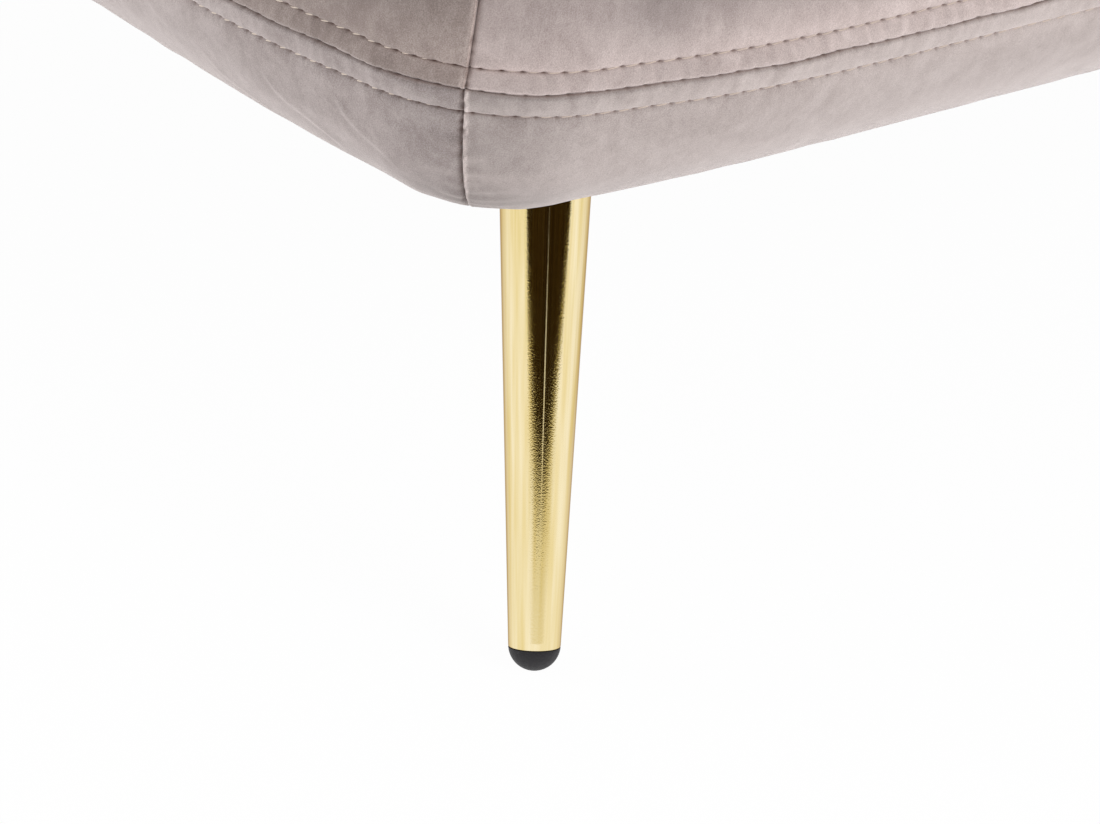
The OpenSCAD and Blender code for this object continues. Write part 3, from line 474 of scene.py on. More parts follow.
def makeGrainGroup():
    group, given, out = newGroup("plainGrain", {"Scale": 500.0, "Stretch": (1.0, 1.0, 1.0)}, ["Grain"])
    place = addNode(group, "ShaderNodeTexCoord").outputs["Object"]
    mapped = addMapping(group, place, given.outputs["Stretch"])
    pattern = addNoise(group, mapped, given.outputs["Scale"], grain["detail"])
    feed(group, out, {"Grain": addCentred(group, pattern, grain["contrast"], clamp=True)})
    return group


grainGroup = makeGrainGroup()


def plainMaterial(name, dark, light, scale, roughness, relief, stretch=(1.0, 1.0, 1.0), metallic=0.0):
    material, tree, shader = newMaterial(name)
    inputs = {"Scale": scale, "Stretch": stretch}
    tone = addNode(tree, "ShaderNodeGroup", inputs, node_tree=grainGroup).outputs["Grain"]
    low, high = roughness
    feed(tree, shader, {
        "Base Color": addMix(tree, tone, srgb(*dark), srgb(*light)), "Metallic": metallic,
        "Roughness": addMath(tree, "MULTIPLY_ADD", tone, high - low, low),
        "Normal": addBump(tree, tone, relief, grain["depth"]),
    })
    return material


plainLooks = {name: plainMaterial(name, **recipe) for name, recipe in plainRecipes.items()}
print("materials made")


# Seat body: the rounded underside outline, its swell, and the profile from the staples to the top seam
seatBody = dict(
    half=(751.0, 331.0), underside=178.0, sideSwell=29.0, cornerSwell=15.6, swellReach=60.0,
    cornerRadius=36.0, seamRise=47.6, rollInset=15.0, rollHang=3.0, flangeInset=40.0, flangeTop=187.2,
    flangeCurve=1.7, seamShift=3.4, seamDrift=0.04, driftRise=30.0, driftReach=25.0,
    borderHeight=174.4, borderLean=1.6, edgeInset=34.0, edgeRise=24.0, crownRise=16.0,
)
half = np.array(seatBody["half"])
cornerRadius = seatBody["cornerRadius"]
straight = half - cornerRadius
seamZ = seatBody["underside"] + seatBody["seamRise"]
bandHeight = seatBody["seamRise"] + seatBody["rollHang"]
bandLength = bandHeight * math.pi / 2  # from the sewn seam round to the underside
topSeamZ = seamZ + seatBody["borderHeight"]
plateauZ = topSeamZ + seatBody["edgeRise"]
arcLength = cornerRadius * math.pi / 2
segmentLengths = [arcLength, 2 * straight[0], arcLength, 2 * straight[1]] * 2
segmentStarts = np.concatenate([[0], np.cumsum(segmentLengths)])
outlineLength = segmentStarts[-1]
# Corners in order: rear and head end, rear and foot end, front and foot end, front and head end
cornerSigns = np.array([[1, 1], [-1, 1], [-1, -1], [1, -1]], float)


def stationsAt(t):
    # For places t along the outline: anchor on the straight rectangle, outward way, distance to the corner
    t = np.asarray(t, float) % outlineLength
    segment = np.clip(np.searchsorted(segmentStarts, t, side="right") - 1, 0, 7)
    past = t - segmentStarts[segment]
    corner = segment // 2
    onArc = segment % 2 == 0
    angle = math.pi / 2 * (corner + np.where(onArc, past / arcLength, 1))
    way = np.stack([np.cos(angle), np.sin(angle)], -1)
    ends = cornerSigns[corner], cornerSigns[(corner + 1) % 4]
    lengths = np.array(segmentLengths)[segment]
    share = np.where(onArc, 0, past / lengths)[:, None]
    anchor = ends[0] * (1 - share) + ends[1] * share
    distance = np.where(
        onArc, abs(past - arcLength / 2), arcLength / 2 + np.minimum(past, lengths - past)
    )
    return anchor, way, distance


def outlinePoints(stations, offset, z, leastRadius=4.0):
    anchor, way, _ = stations
    offset = np.broadcast_to(np.asarray(offset, float), (len(anchor),))
    radius = np.maximum(leastRadius, cornerRadius + offset)
    radius = np.minimum(radius, np.maximum(half[1] + offset, 0))
    xy = anchor * (half + offset[:, None] - radius[:, None]) + radius[:, None] * way
    return np.column_stack([xy, np.broadcast_to(z, (len(anchor),))])


def swellAt(stations):
    share = 1 - bump(stations[2], seatBody["swellReach"])
    return seatBody["cornerSwell"] + (seatBody["sideSwell"] - seatBody["cornerSwell"]) * share


# Length along the sewn seam, so that every stitch is as long as the next
denseT = np.linspace(0, outlineLength, 16001)
denseStations = stationsAt(denseT)
denseLength = lengthAlong(outlinePoints(denseStations, swellAt(denseStations), seamZ))


def alongSeam(t):
    return np.interp(t, denseT, denseLength)


def outlineAt(length):
    return np.interp(length % denseLength[-1], denseLength, denseT)


def cornerSeamPlace(k):
    # The vertical seams lie a little towards the end faces
    shift = -seatBody["seamShift"] if k % 2 == 0 else seatBody["seamShift"]
    return segmentStarts[2 * k] + arcLength / 2 + shift


def panelRow(stations, w, upper):
    # The points of a panel's row at the distance w above or below the sewn seam
    swell = swellAt(stations)
    if upper:
        share = w / seatBody["borderHeight"]
        return outlinePoints(stations, swell * (1 - share ** seatBody["borderLean"]), seamZ + w)
    # a band rounds under the body, and past the round it runs in to the staples under the rails
    phi = min(w / bandHeight, math.pi / 2)
    flange = seatBody["flangeInset"] - seatBody["rollInset"]
    past = float(ramp(w, bandLength, bandLength + flange))
    offset = (swell + seatBody["rollInset"]) * math.cos(phi) - seatBody["rollInset"] - past * flange
    lift = seatBody["flangeTop"] - (seamZ - bandHeight)
    z = seamZ - bandHeight * math.sin(phi) + past ** seatBody["flangeCurve"] * lift
    return outlinePoints(stations, offset, z)


# Sewn seam with a row of topstitches on each side; pairs are for the row above it and the row below
seam = dict(
    rowAt=(6.5, 8.2), proud=1.9, groove=1.1, grooveWidth=0.58, notch=0.45, notchLength=0.8, pitch=6.5,
    pinch=0.35, pinchWidth=1.4, rowGroove=0.26, rowWidth=0.4, holeDepth=0.45, holeLength=(0.8, 0.55),
    holeWidth=0.45, holeShare=(1.0, 0.8), holeShift=0.12, cornerReach=26.0, cornerSunk=0.34, puff=0.5,
    puffStart=2.5, puffEnd=30.0, pucker=0.05, puckerWidth=2.4, wave=0.13, fineWave=0.08, turnIn=2.2,
    tentPower=1.5, uneven=0.25, notchWidth=0.8, cornerGroove=0.45, cornerHole=0.4,
)
# How much its colour is darkened, for its parted pile and as painted shade: in its groove, at the notches,
# along a row of stitches and at their holes
partingShade = dict(
    groove=0.85, grooveWidth=0.42, notch=0.4, notchWidth=0.7, row=0.3, cornerRow=0.45, rowWidth=0.36,
    hole=0.85, holeWidth=0.5,
)
# Where a panel ends in a plain seam: its groove, the roll beside it, and its colour darkened for parted
# pile and as painted shade
edgeSeam = dict(
    groove=1.3, borderWidth=0.7, paddedWidth=0.8, roll=0.7, rollAt=4.0, rollWidth=3.0, partedShadeAmount=0.9,
    partedShadeWidth=0.7,
)


def stitchHoles(s, seed):
    # Distance along the seam to the nearest needle hole, and where the row's first hole is
    first = np.random.RandomState(seed).rand() * seam["pitch"]
    step = (s - first) / seam["pitch"]
    return (step - np.round(step)) * seam["pitch"], first


def seamRelief(w, s, q, row, seed):
    # w is the distance from the seam (not below zero), s the length along it, q that to a corner seam
    w, s, q = np.broadcast_arrays(w, s, q)
    rowAt = seam["rowAt"][row]
    past = w - rowAt
    nearCorner = np.exp(-q / seam["cornerReach"])
    fromHole = stitchHoles(s, seed)[0]
    tent = seam["proud"] * (1 - np.clip(w / rowAt, 0, 1) ** seam["tentPower"])
    uneven = 1 + seam["uneven"] * softWave(s, (31.0, 47.0, 83.0), seed)
    hole = bump(fromHole, seam["holeLength"][row]) * seam["holeShare"][row]
    holeLine = past - seam["holeShift"]
    notch = bump(stitchHoles(s, seeds["notch"])[0], seam["notchLength"])
    pinch = seam["pinch"] * bump(past, seam["pinchWidth"]) * (0.7 + 0.3 * hole) * uneven
    line = (seam["rowGroove"] + seam["cornerGroove"] * nearCorner) * bump(past, seam["rowWidth"])
    holeDepth = seam["holeDepth"] * (1 - seam["cornerHole"] * nearCorner)
    line = line + holeDepth * hole * bump(holeLine, seam["holeWidth"])
    turn = fromHole / seam["pitch"] * 2 * math.pi + 0.5 * softWave(s, (29.0, 41.0), seed + 1)
    pucker = -seam["pucker"] * np.cos(turn) * bump(past, seam["puckerWidth"])
    outside = np.clip(past, 0, None)
    puff = seam["puff"] * (1 - np.exp(-outside / seam["puffStart"])) * np.exp(-outside / seam["puffEnd"])
    wave = seam["wave"] * softWave(s, (14.0, 19.0, 26.0), seed + 2) * bump(w - 2, 6.0)
    wave = wave + seam["fineWave"] * softWave(s, (5.1, 7.3, 9.7), seed + 3) * bump(w - rowAt * 0.5, 4.0)
    groove = seam["groove"] * bump(w, seam["grooveWidth"])
    groove = groove + seam["notch"] * notch * bump(w, seam["notchWidth"])
    # the colour is darkened in the groove, at the notches and along the stitches: parted pile and painted
    # shade
    partedShade = partingShade["groove"] * bump(w, partingShade["grooveWidth"])
    partedShade = partedShade + partingShade["notch"] * notch * bump(w, partingShade["notchWidth"])
    partedShade = partedShade + (partingShade["row"] + partingShade["cornerRow"] * nearCorner) * bump(past, partingShade["rowWidth"])
    partedShade = partedShade + partingShade["hole"] * hole * bump(holeLine, partingShade["holeWidth"])
    return tent * uneven - pinch - line + pucker + puff + wave * (w > 0) - groove, partedShade


# Vertical corner seams; pairs are for the side that falls into one and the side that rolls out over it
# Its ridge is a painted highlight along the side that rolls out over the seam, not a change of shape
cornerSeam = dict(
    width=(1.2, 0.3), depth=(1.3, 0.9), roll=(0.1, 0.6), rollTop=62.0, rollFade=30.0, wobble=0.26,
    pull=0.25, pullReach=9.0, slowPull=0.3, slowReach=26.0, partedShadeAmount=0.72, ridge=1.9, highlightAt=0.75,
    highlightWidth=0.55, rollAt=0.7, rollWidth=0.8, groundShade=0.3, groundShadeWidth=0.28,
    unevenDepth=0.3, unevenPartedShade=0.3, unevenHighlight=0.35,
)


def cornerRelief(q, w, proud, seed):
    # Returns the relief, the darkening of the seam (parted pile and painted shade), and a painted highlight
    # along the side that rolls out
    width, depth, roll = (cornerSeam[key][proud] for key in ("width", "depth", "roll"))
    wobble = cornerSeam["wobble"] * softWave(w, (3.3, 4.7, 9.5), seeds["cornerWobble"])
    inSeam = np.maximum(q + wobble, 0)
    depth = depth * (1 + cornerSeam["unevenDepth"] * softWave(w, (3.1, 4.3, 8.3), seeds["cornerDepth"]))
    roll = roll * bump(q - cornerSeam["rollAt"], cornerSeam["rollWidth"])
    roll = roll * np.clip((cornerSeam["rollTop"] - w) / cornerSeam["rollFade"], 0, 1)
    pull = cornerSeam["pull"] * softWave(w + 0.35 * q, (7.0, 9.5, 13.0), seed)
    pull = pull * np.exp(-q / cornerSeam["pullReach"]) * (1 - bump(q, 0.8))
    slow = cornerSeam["slowPull"] * softWave(w - 0.5 * q, (23.0, 37.0), seed + 1)
    slow = slow * np.exp(-q / cornerSeam["slowReach"]) * (1 - bump(q, 3.0))
    uneven = softWave(w, (2.7, 3.9, 6.1), seeds["cornerPartingShade"])
    # the groove's colour is darkened: parted pile and painted shade
    partedShadeAmount = (cornerSeam["partedShadeAmount"] + cornerSeam["unevenPartedShade"] * uneven) * bump(inSeam, width * 0.9)
    partedShadeAmount = partedShadeAmount + cornerSeam["groundShade"] * bump(q, cornerSeam["groundShadeWidth"])
    # painted highlight along the edge of the side that rolls out
    uneven = 1 + cornerSeam["unevenHighlight"] * softWave(w, (3.7, 5.9), seeds["cornerHighlight"])
    ridge = bump(q - cornerSeam["highlightAt"] + wobble, cornerSeam["highlightWidth"])
    ridge = cornerSeam["ridge"] * uneven * ridge * proud
    return roll - depth * bump(inSeam, width) + pull + slow, partedShadeAmount, ridge


panelNames = ["rear", "foot", "front", "head"]  # the long sides are even, the ends odd
columnSteps = [(1.4, 0.35), (8.0, 0.5), (200.0, 0.6), (9999.0, 3.3)]
stitchRuns = []


def keepStitches(kind, s, points, normals, seed, margin=0.0):
    # Keeps one row of stitches for its threads, but for what lies in the seams at its ends
    inside = (s >= s[0] + margin) & (s <= s[-1] - margin)
    stitchRuns.append((kind, s[inside], points[inside], normals[inside], stitchHoles(s, seed)[1]))


def fineRows(reach, rowAt, widest):
    # Distances from a seam, close together at the groove and at the topstitches
    near = [0, 0.25, 0.5, 0.8, 1.2, 1.8, 2.6, 3.5, 4.4, 5.4]
    around = [-1.3, -0.9, -0.55, -0.25, 0, 0.3, 0.65, 1.1, 1.7, 2.5, 3.5]
    rows = [r for r in near if r < rowAt - 1.6] + [rowAt + r for r in around]
    while rows[-1] + widest < reach:
        rows.append(rows[-1] + min(widest, 1.3 * (rows[-1] - rows[-2])))
    rows[-1] = reach
    return np.array(rows)


def panelDistances(upper):
    # A panel's rows, by their distance from the sewn seam: up to the top seam, or round to the staples
    if upper:
        rows = fineRows(seatBody["borderHeight"] - 3.0, seam["rowAt"][0], 4.6)
        return np.append(rows, seatBody["borderHeight"] - np.array([2.0, 1.2, 0.6, 0.0]))
    rows = fineRows(bandLength, seam["rowAt"][1], 1.7)
    return np.append(rows, bandLength + np.array([3.0, 7.0, 12.0, 18.0, 25.0]))


def panelSpan(k):
    # Where a panel starts and ends, as lengths along the sewn seam
    startT, endT = cornerSeamPlace(k), cornerSeamPlace((k + 1) % 4)
    return alongSeam(startT), alongSeam(endT) + (0 if endT > startT else denseLength[-1])


def driftedStations(s, startS, endS, k, w):
    # The corner seams of the border drift a little towards the end faces as they rise
    drift = seatBody["seamDrift"] * min(w, seatBody["driftRise"]) * (-1 if k % 2 else 1)
    nearStart, nearEnd = bump(s - startS, seatBody["driftReach"]), bump(endS - s, seatBody["driftReach"])
    return stationsAt(outlineAt(s) + drift * nearStart - drift * nearEnd)


def sidePanel(k, upper):
    # One panel of the body's side between two corner seams: the border above or the band below
    row = 0 if upper else 1
    startS, endS = panelSpan(k)
    s = startS + spacedAlong(endS - startS, columnSteps)
    distances = panelDistances(upper)
    base = np.array([
        panelRow(driftedStations(s, startS, endS, k, w if upper else 0), w, upper) for w in distances
    ])
    normals = gridNormals(base, flip=not upper)
    w = distances[:, None]
    along, q = (s - startS)[None, :], np.minimum(s - startS, endS - s)[None, :]
    seed = seeds["panel"] + 7 * k + 3 * row
    relief, partedShade = seamRelief(w, s[None, :], q, row, seed)
    proud = (k % 2 == 1) == upper
    corner, cornerPartedShade, ridge = cornerRelief(q, w, proud, seeds["corner"] + 5 * k + 2 * row)
    partedShade = np.maximum(partedShade, cornerPartedShade)
    if upper:
        edgeDip, edgePartedShade = edgeRelief(seatBody["borderHeight"] - w, edgeSeam["borderWidth"])
        relief = relief + edgeDip + corner + borderCreases(along, w, k)
        partedShade = np.maximum(partedShade, edgePartedShade)
    else:
        fade = np.clip((len(distances) - 1 - np.arange(len(distances))) / 5, 0, 1)[:, None]
        folds = bottomFolds(q, w, k) + bandCreases(along, w, k) + pulledCreases(along, endS - startS, w, k)
        relief = relief * np.clip(fade * 1.5, 0, 1) + (corner + folds) * fade
    grid = base + normals * relief[..., None] + panelPush(k, upper, distances, s, startS, endS)
    index = int(np.argmin(abs(distances - seam["rowAt"][row])))
    sunk = seam["cornerSunk"] * bump(q[0], seam["cornerReach"])
    threads = grid[index] - normals[index] * sunk[:, None]
    keepStitches(2 * (k % 2) + row, s, threads, normals[index], seed, 0.8)
    # the nap's lie with painted light and shade, and the painted highlight beside the corner seam
    return grid, normals, partedShade, napLieAndShade(w, q, k, upper) + ridge


def edgeRelief(gap, width):
    # A plain seam at a panel's edge, gap away: its groove with a roll beside it, and its darkening for
    # parted pile and painted shade
    roll = edgeSeam["roll"] * bump(gap - edgeSeam["rollAt"], edgeSeam["rollWidth"])
    dip = roll - edgeSeam["groove"] * bump(gap, width)
    return dip, edgeSeam["partedShadeAmount"] * bump(gap, edgeSeam["partedShadeWidth"])


# How the nap lies, with painted light and shade: lighter beside the stitches and, on the borders, towards
# the corners, and darker low on the bands. Pairs are for the long sides and for the ends.
napLayAndShade = dict(
    seamLight=0.7, seamFar=(0.7, 0.1), seamFade=(24.0, 10.0), farFrom=(30.0, 90.0),
    cornerLight=(1.35, 0.75), cornerReach=(46.0, 30.0), cornerHeight=90.0,
    stripLight=(0.35, 0.2), stripFar=(0.15, 0.0), besideLight=(0.55, 0.3), besideReach=8.0,
    lowDark=(1.2, 0.95), lowFrom=(32.0, 58.0), markDrift=9.0,
)
# Patches of painted light and shade on the borders: distance from the corner, height, both reaches,
# strength
borderLightShadePatches = (
    [(57, 24, 19, 17, -0.5), (78, 44, 22, 12, -0.25), (98, 30, 16, 12, 0.15), (20, 34, 12, 14, -0.15)],
    [(0, 18, 14, 16, 0.45)],
)


def napLieAndShade(w, q, k, upper):
    # Painted light and shade mixed with the nap's lie, as a mask for the velvet's colour
    end = k % 2
    far = ramp(q, *napLayAndShade["farFrom"])
    if upper:
        lie = napLayAndShade["cornerLight"][end] * bump(q, napLayAndShade["cornerReach"][end])
        lie = lie * bump(w, napLayAndShade["cornerHeight"])
        drift = 0 if end else napLayAndShade["markDrift"] * (2 - k)
        for place, height, wide, high, strength in borderLightShadePatches[end]:
            lie = lie + strength * bump(q - place - drift, wide) * bump(w - height, high)
        return lie + ramp(w, *napLayAndShade["seamFade"]) * (napLayAndShade["seamLight"] + napLayAndShade["seamFar"][end] * far)
    # on a band: painted light on the strip at the stitches and beside them, painted shade low down
    rowAt = seam["rowAt"][1]
    strip = napLayAndShade["stripLight"][end] + napLayAndShade["stripFar"][end] * far
    strip = strip * ramp(w, rowAt + 1, rowAt - 1) * (0.4 + 0.6 * far)
    beside = napLayAndShade["besideLight"][end] * np.exp(-np.clip(w - rowAt, 0, None) / napLayAndShade["besideReach"])
    low = smoothStep(ramp(w, *napLayAndShade["lowFrom"]))
    return strip + beside * (w >= rowAt) - napLayAndShade["lowDark"][end] * low


# Heights of the creases and where they lie; pairs are for the long sides and for the ends, or from and to
creases = dict(
    fold=(0.6, 0.2), foldAt=45.0, foldReach=14.0, foldLength=10.0, border=0.35, borderFade=30.0,
    band=0.1, bandSlant=(-0.9, 0.9), bandFrom=(12.0, 26.0), bandTo=(80.0, 60.0),
    pullShift=9.0, pullFade=9.0, pullWidth=1.6, pullBend=1.5, bendLength=5.0,
    valley=0.7, valleyAt=2.6, valleyWidth=1.8, back=0.5, backFoot=25.0, backFade=40.0,
)


def bottomFolds(q, w, k):
    # Short pulls beside the corner seam, low on the band where the cloth turns under
    low = creases["fold"][k % 2] * bump(w - creases["foldAt"], creases["foldReach"])
    uneven = softWave(w + 0.1 * q, (5.9, 7.7, 11.0), seeds["fold"])
    return low * uneven * np.exp(-q / creases["foldLength"]) * (1 - bump(q, 0.9))


def borderCreases(along, w, k):
    # Slow diagonal creases of the borders
    height, fade = seatBody["borderHeight"], creases["borderFade"]
    slanted = softWave(along * 0.8 + w * 0.6, (67.0, 93.0, 131.0), seeds["border"] + k)
    slanted = slanted * ramp(w, 0, fade) * ramp(w, height, height - fade)
    return creases["border"] * slanted * softWave(along, (211.0, 317.0), seeds["borderDrift"] + k)


def bandCreases(along, w, k):
    # Soft slanting creases between the stitches and the underside
    slanted = softWave(along + creases["bandSlant"][k % 2] * w, (19.0, 27.0, 41.0), seeds["band"] + k)
    slanted = slanted * ramp(w, *creases["bandFrom"]) * ramp(w, *creases["bandTo"])
    return creases["band"] * slanted * (0.6 + 0.4 * softWave(along, (97.0, 151.0), seeds["bandDrift"] + k))


# Short pulls of the bands beside the corners: distances from the corner and the seam at both ends, height
bandPulls = [
    (80, 22, 58, 42, 0.32), (47, 19, 31, 35, 0.3), (112, 30, 96, 44, 0.24), (140, 18, 122, 26, 0.2),
]


def pulledCreases(along, length, w, k):
    # Each pull of an end's band is a low ridge with a shallow valley below it, its own at every corner
    total = 0
    for end, q in enumerate((along, length - along) if k % 2 else ()):
        random = np.random.RandomState(seeds["pulls"] + 2 * k + end)
        for d0, w0, d1, w1, high in bandPulls:
            shift = 0 if (k, end) == (1, 1) else random.uniform(-1, 1) * creases["pullShift"]
            reach = math.hypot(d1 - d0, w1 - w0)
            wayQ, wayW = (d1 - d0) / reach, (w1 - w0) / reach
            dq, dw = q - d0 - shift, w - w0
            past = dq * wayQ + dw * wayW
            beside = dw * wayQ - dq * wayW + creases["pullBend"] * np.sin(past / creases["bendLength"])
            taper = np.clip(np.minimum(past, reach - past) / creases["pullFade"] + 0.6, 0, 1)
            valley = creases["valley"] * bump(beside + creases["valleyAt"], creases["valleyWidth"])
            total = total + high * taper * (bump(beside, creases["pullWidth"]) - valley)
    return total


def panelPush(k, upper, distances, s, startS, endS):
    # What the cloth adds to a panel, from its row of stitches to its far seam
    rowAt, last = (seam["rowAt"][0], seatBody["borderHeight"]) if upper else (seam["rowAt"][1], bandLength)
    rows = max(6, int((last - rowAt) / cloth["cellSize"]) + 1)
    cols = int((endS - startS) / cloth["cellSize"]) + 1
    stations = stationsAt(outlineAt(np.linspace(startS, endS, cols)))
    points = np.array([panelRow(stations, w, upper) for w in np.linspace(rowAt, last, rows)])
    name = f"{panelNames[k]}Cloth{'Upper' if upper else 'Lower'}"
    shift = simulatedMove(name, points, cloth["sideCap"], cloth["sideSlack"], turned=not upper)
    # the measured shape stays: most of the even swell is taken off, and the creases are kept
    even = smoothGrid(shift, cloth["evenPasses"])
    share = cloth["sideShare"] * (1 if upper else cloth["bandShare"])
    shift = (shift - even) * share + even * cloth["evenShare"]
    return carriedOver(shift, (distances - rowAt) / (last - rowAt), (s - startS) / (endS - startS))


def clearOf(name, grid, normals, clearance=0.9, reach=26.0):
    # Lifts a cover wherever the foam under it comes nearer than the clearance
    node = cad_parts[name]
    corners = [node.matrix_world @ vertex.co for vertex in node.data.vertices]
    tree = BVHTree.FromPolygons(corners, [list(face.vertices) for face in node.data.polygons])
    lift = np.zeros(grid.shape[:2])
    starts = (grid + normals * reach) * mm
    for r, c in np.ndindex(lift.shape):
        hit = tree.ray_cast(Vector(starts[r, c]), Vector(-normals[r, c]), (reach + clearance) * mm)
        if hit[0] is not None:
            lift[r, c] = reach + clearance - hit[3] / mm
    lift = np.maximum(lift, smoothGrid(lift[..., None], 6)[..., 0])
    print("cover over", name, "lifted at most", round(float(lift.max()), 2), "mm")
    return grid + lift[..., None] * normals


def turnedIn(grid, normals, partedShade, lie):
    # Adds a hidden turn of cloth along all four edges, so that no open edge shows in a seam
    inner = grid - normals * seam["turnIn"]
    partedShade, lie = np.pad(partedShade, 1, mode="edge"), np.pad(lie, 1, mode="edge")
    grid = np.concatenate([inner[:1], grid, inner[-1:]], axis=0)
    inner = np.concatenate([inner[:1], inner, inner[-1:]], axis=0)
    return np.concatenate([inner[:, :1], grid, inner[:, -1:]], axis=1), partedShade, lie


def makeSides():
    for k, name in enumerate(panelNames):
        for upper, part in ((True, "border"), (False, "lower_band")):
            grid, partedShade, lie = turnedIn(*sidePanel(k, upper))
            look = panelLooks[f"velvet{'End' if k % 2 else 'Side'}{'Border' if upper else 'Band'}"]
            makeCover(f"{name}_{part}_velvet", f"{name}_{part}", grid, look, partedShade, lie, flip=not upper)


makeSides()
print("sides made")


# Seat top: one cover over the rounded edge and the crown, with one row of topstitches at its edge
seatTop = dict(
    stitchRow=7.0, columnSpacing=3.25, rowSpacing=8.0, edgeArc=28.5, flatStart=45.0, backReach=155.0,
    noseX=-235.0, openReach=118.9, openPower=1.588, backFade=67.0, backPower=1.287, pinch=0.7,
    pinchWidth=1.6, puff=0.4, puffFrom=12.0, puffTo=60.0, rollAt=3.5, rollWidth=2.5, uneven=0.3,
    rowPartedShade=0.3, holePartedShade=0.6, rowWidth=0.5,
)


def crownHeight(x, y):
    # The crown rises away from the open edges and from the foot of the back
    edge = half - seatBody["edgeInset"]
    gaps = (edge[0] + x, edge[1] + y, edge[1] - y)  # from the foot, front and rear edges
    fromOpen = sum(np.clip(gap, 0.01, None) ** -4 for gap in gaps) ** -0.25
    toHead, toRear, toNose = (np.clip(gap, 0, None) for gap in backGaps(x, y))
    fromBack = np.minimum(toHead, np.hypot(toRear, toNose))
    rise = 1 - np.exp(-((fromOpen / seatTop["openReach"]) ** seatTop["openPower"]))
    rise = rise * (1 - np.exp(-((fromBack / seatTop["backFade"]) ** seatTop["backPower"])))
    return seatBody["crownRise"] * rise


def backGaps(x, y):
    # From a point of the seat to the foot of the back: at the head end, at the rear, and to its nose
    return half[0] - seatTop["backReach"] - x, half[1] - seatTop["backReach"] - y, seatTop["noseX"] - x


def seatTopRows(stations):
    # Rows of the cover, from its seam over the rounded edge to the middle, and their distances from it
    inset = seatBody["edgeInset"]
    rows, distances = [], []
    for a in np.radians([0, 1.5, 3, 5, 8, *np.arange(11, 90, 5.5)]):
        z = topSeamZ + seatBody["edgeRise"] * math.sin(a)
        rows.append(outlinePoints(stations, -inset * (1 - math.cos(a)), z))
        distances.append(seatTop["edgeArc"] * a)
    for reach in [*np.arange(inset, half[1], seatTop["rowSpacing"]), half[1]]:
        flat = outlinePoints(stations, -reach, plateauZ)
        flat[:, 2] += crownHeight(flat[:, 0], flat[:, 1])
        rows.append(flat)
        distances.append(seatTop["flatStart"] + reach - inset)
    return np.array(rows), np.array(distances)


def seatTopPush(flat):
    # Moves of the seat's flat top, whose cloth is held at its edge and under the back, at the points flat
    cell = cloth["cellSize"] * cloth["seatCells"]
    x, y = (np.linspace(-1, 1, int(2 * h / cell)) * (h - seatBody["edgeInset"]) for h in half)
    gx, gy = np.meshgrid(x, y)
    points = np.dstack([gx, gy, plateauZ + crownHeight(gx, gy)])
    toHead, toRear, toNose = backGaps(gx, gy)
    held = (toHead <= 0) | (np.maximum(toRear, toNose) <= 0)
    push = simulatedMove("seatTopCloth", points, cloth["seatCap"], cloth["slack"], held=held)
    px = np.clip((flat[..., 0] - x[0]) / (x[1] - x[0]), 0, len(x) - 1.001)
    py = np.clip((flat[..., 1] - y[0]) / (y[1] - y[0]), 0, len(y) - 1.001)
    ix, iy = px.astype(int), py.astype(int)
    fx, fy = smoothStep(px - ix)[..., None], smoothStep(py - iy)[..., None]
    near = push[iy, ix] * (1 - fx) + push[iy, ix + 1] * fx
    return near * (1 - fy) + (push[iy + 1, ix] * (1 - fx) + push[iy + 1, ix + 1] * fx) * fy


def makeSeatTop():
    t = np.concatenate([
        start + np.linspace(0, length, max(9, round(length / seatTop["columnSpacing"])), endpoint=False)
        for start, length in zip(segmentStarts, segmentLengths)
    ])
    grid, distances = seatTopRows(stationsAt(t))
    closed = np.concatenate([grid[:, -1:], grid, grid[:, :1]], axis=1)
    normals = gridNormals(closed)[:, 1:-1]
    normals[-1] = (0, 0, 1)
    s = alongSeam(t)
    w, past = distances[:, None], distances[:, None] - seatTop["stitchRow"]
    uneven = 1 + seatTop["uneven"] * softWave(s, (23.0, 37.0, 59.0), seeds["seatEdge"])[None, :]
    roll = edgeSeam["roll"] * bump(w - seatTop["rollAt"], seatTop["rollWidth"]) * uneven
    stitch = np.cos(2 * math.pi * s / seam["pitch"])[None, :]
    pinch = seatTop["pinch"] * bump(past, seatTop["pinchWidth"]) * (1 + 0.4 * stitch)
    puff = seatTop["puff"] * (1 - np.exp(-w / seatTop["puffFrom"])) * np.exp(-w / seatTop["puffTo"])
    relief = roll - edgeSeam["groove"] * bump(w, edgeSeam["paddedWidth"]) - pinch + puff
    # painted shade, with parted pile, along the edge's groove and its stitches and holes
    hole = bump(stitchHoles(s, seeds["seatStitch"])[0], seam["holeLength"][0])[None, :]
    rowPartedShade = (seatTop["rowPartedShade"] + seatTop["holePartedShade"] * hole) * bump(past, seatTop["rowWidth"])
    partedShade = edgeSeam["partedShadeAmount"] * bump(w, edgeSeam["partedShadeWidth"]) + rowPartedShade
    grid = grid + normals * relief[..., None]
    flatRows = distances >= seatTop["flatStart"]
    grid[flatRows] += seatTopPush(grid[flatRows])
    grid = clearOf("seat_foam", grid, normals)
    ring = np.argmin(abs(distances - seatTop["stitchRow"]))
    keepStitches(0, s, grid[ring], normals[ring], seeds["seatStitch"])
    grid = np.concatenate([grid[:1] - normals[:1] * seam["turnIn"], grid], axis=0)
    partedShade = np.concatenate([partedShade[:1], partedShade], axis=0)
    makeCover("seat_top_velvet", "seat_top_cover", grid, velvetLook, partedShade, closed=True)


makeSeatTop()
print("seat top made")


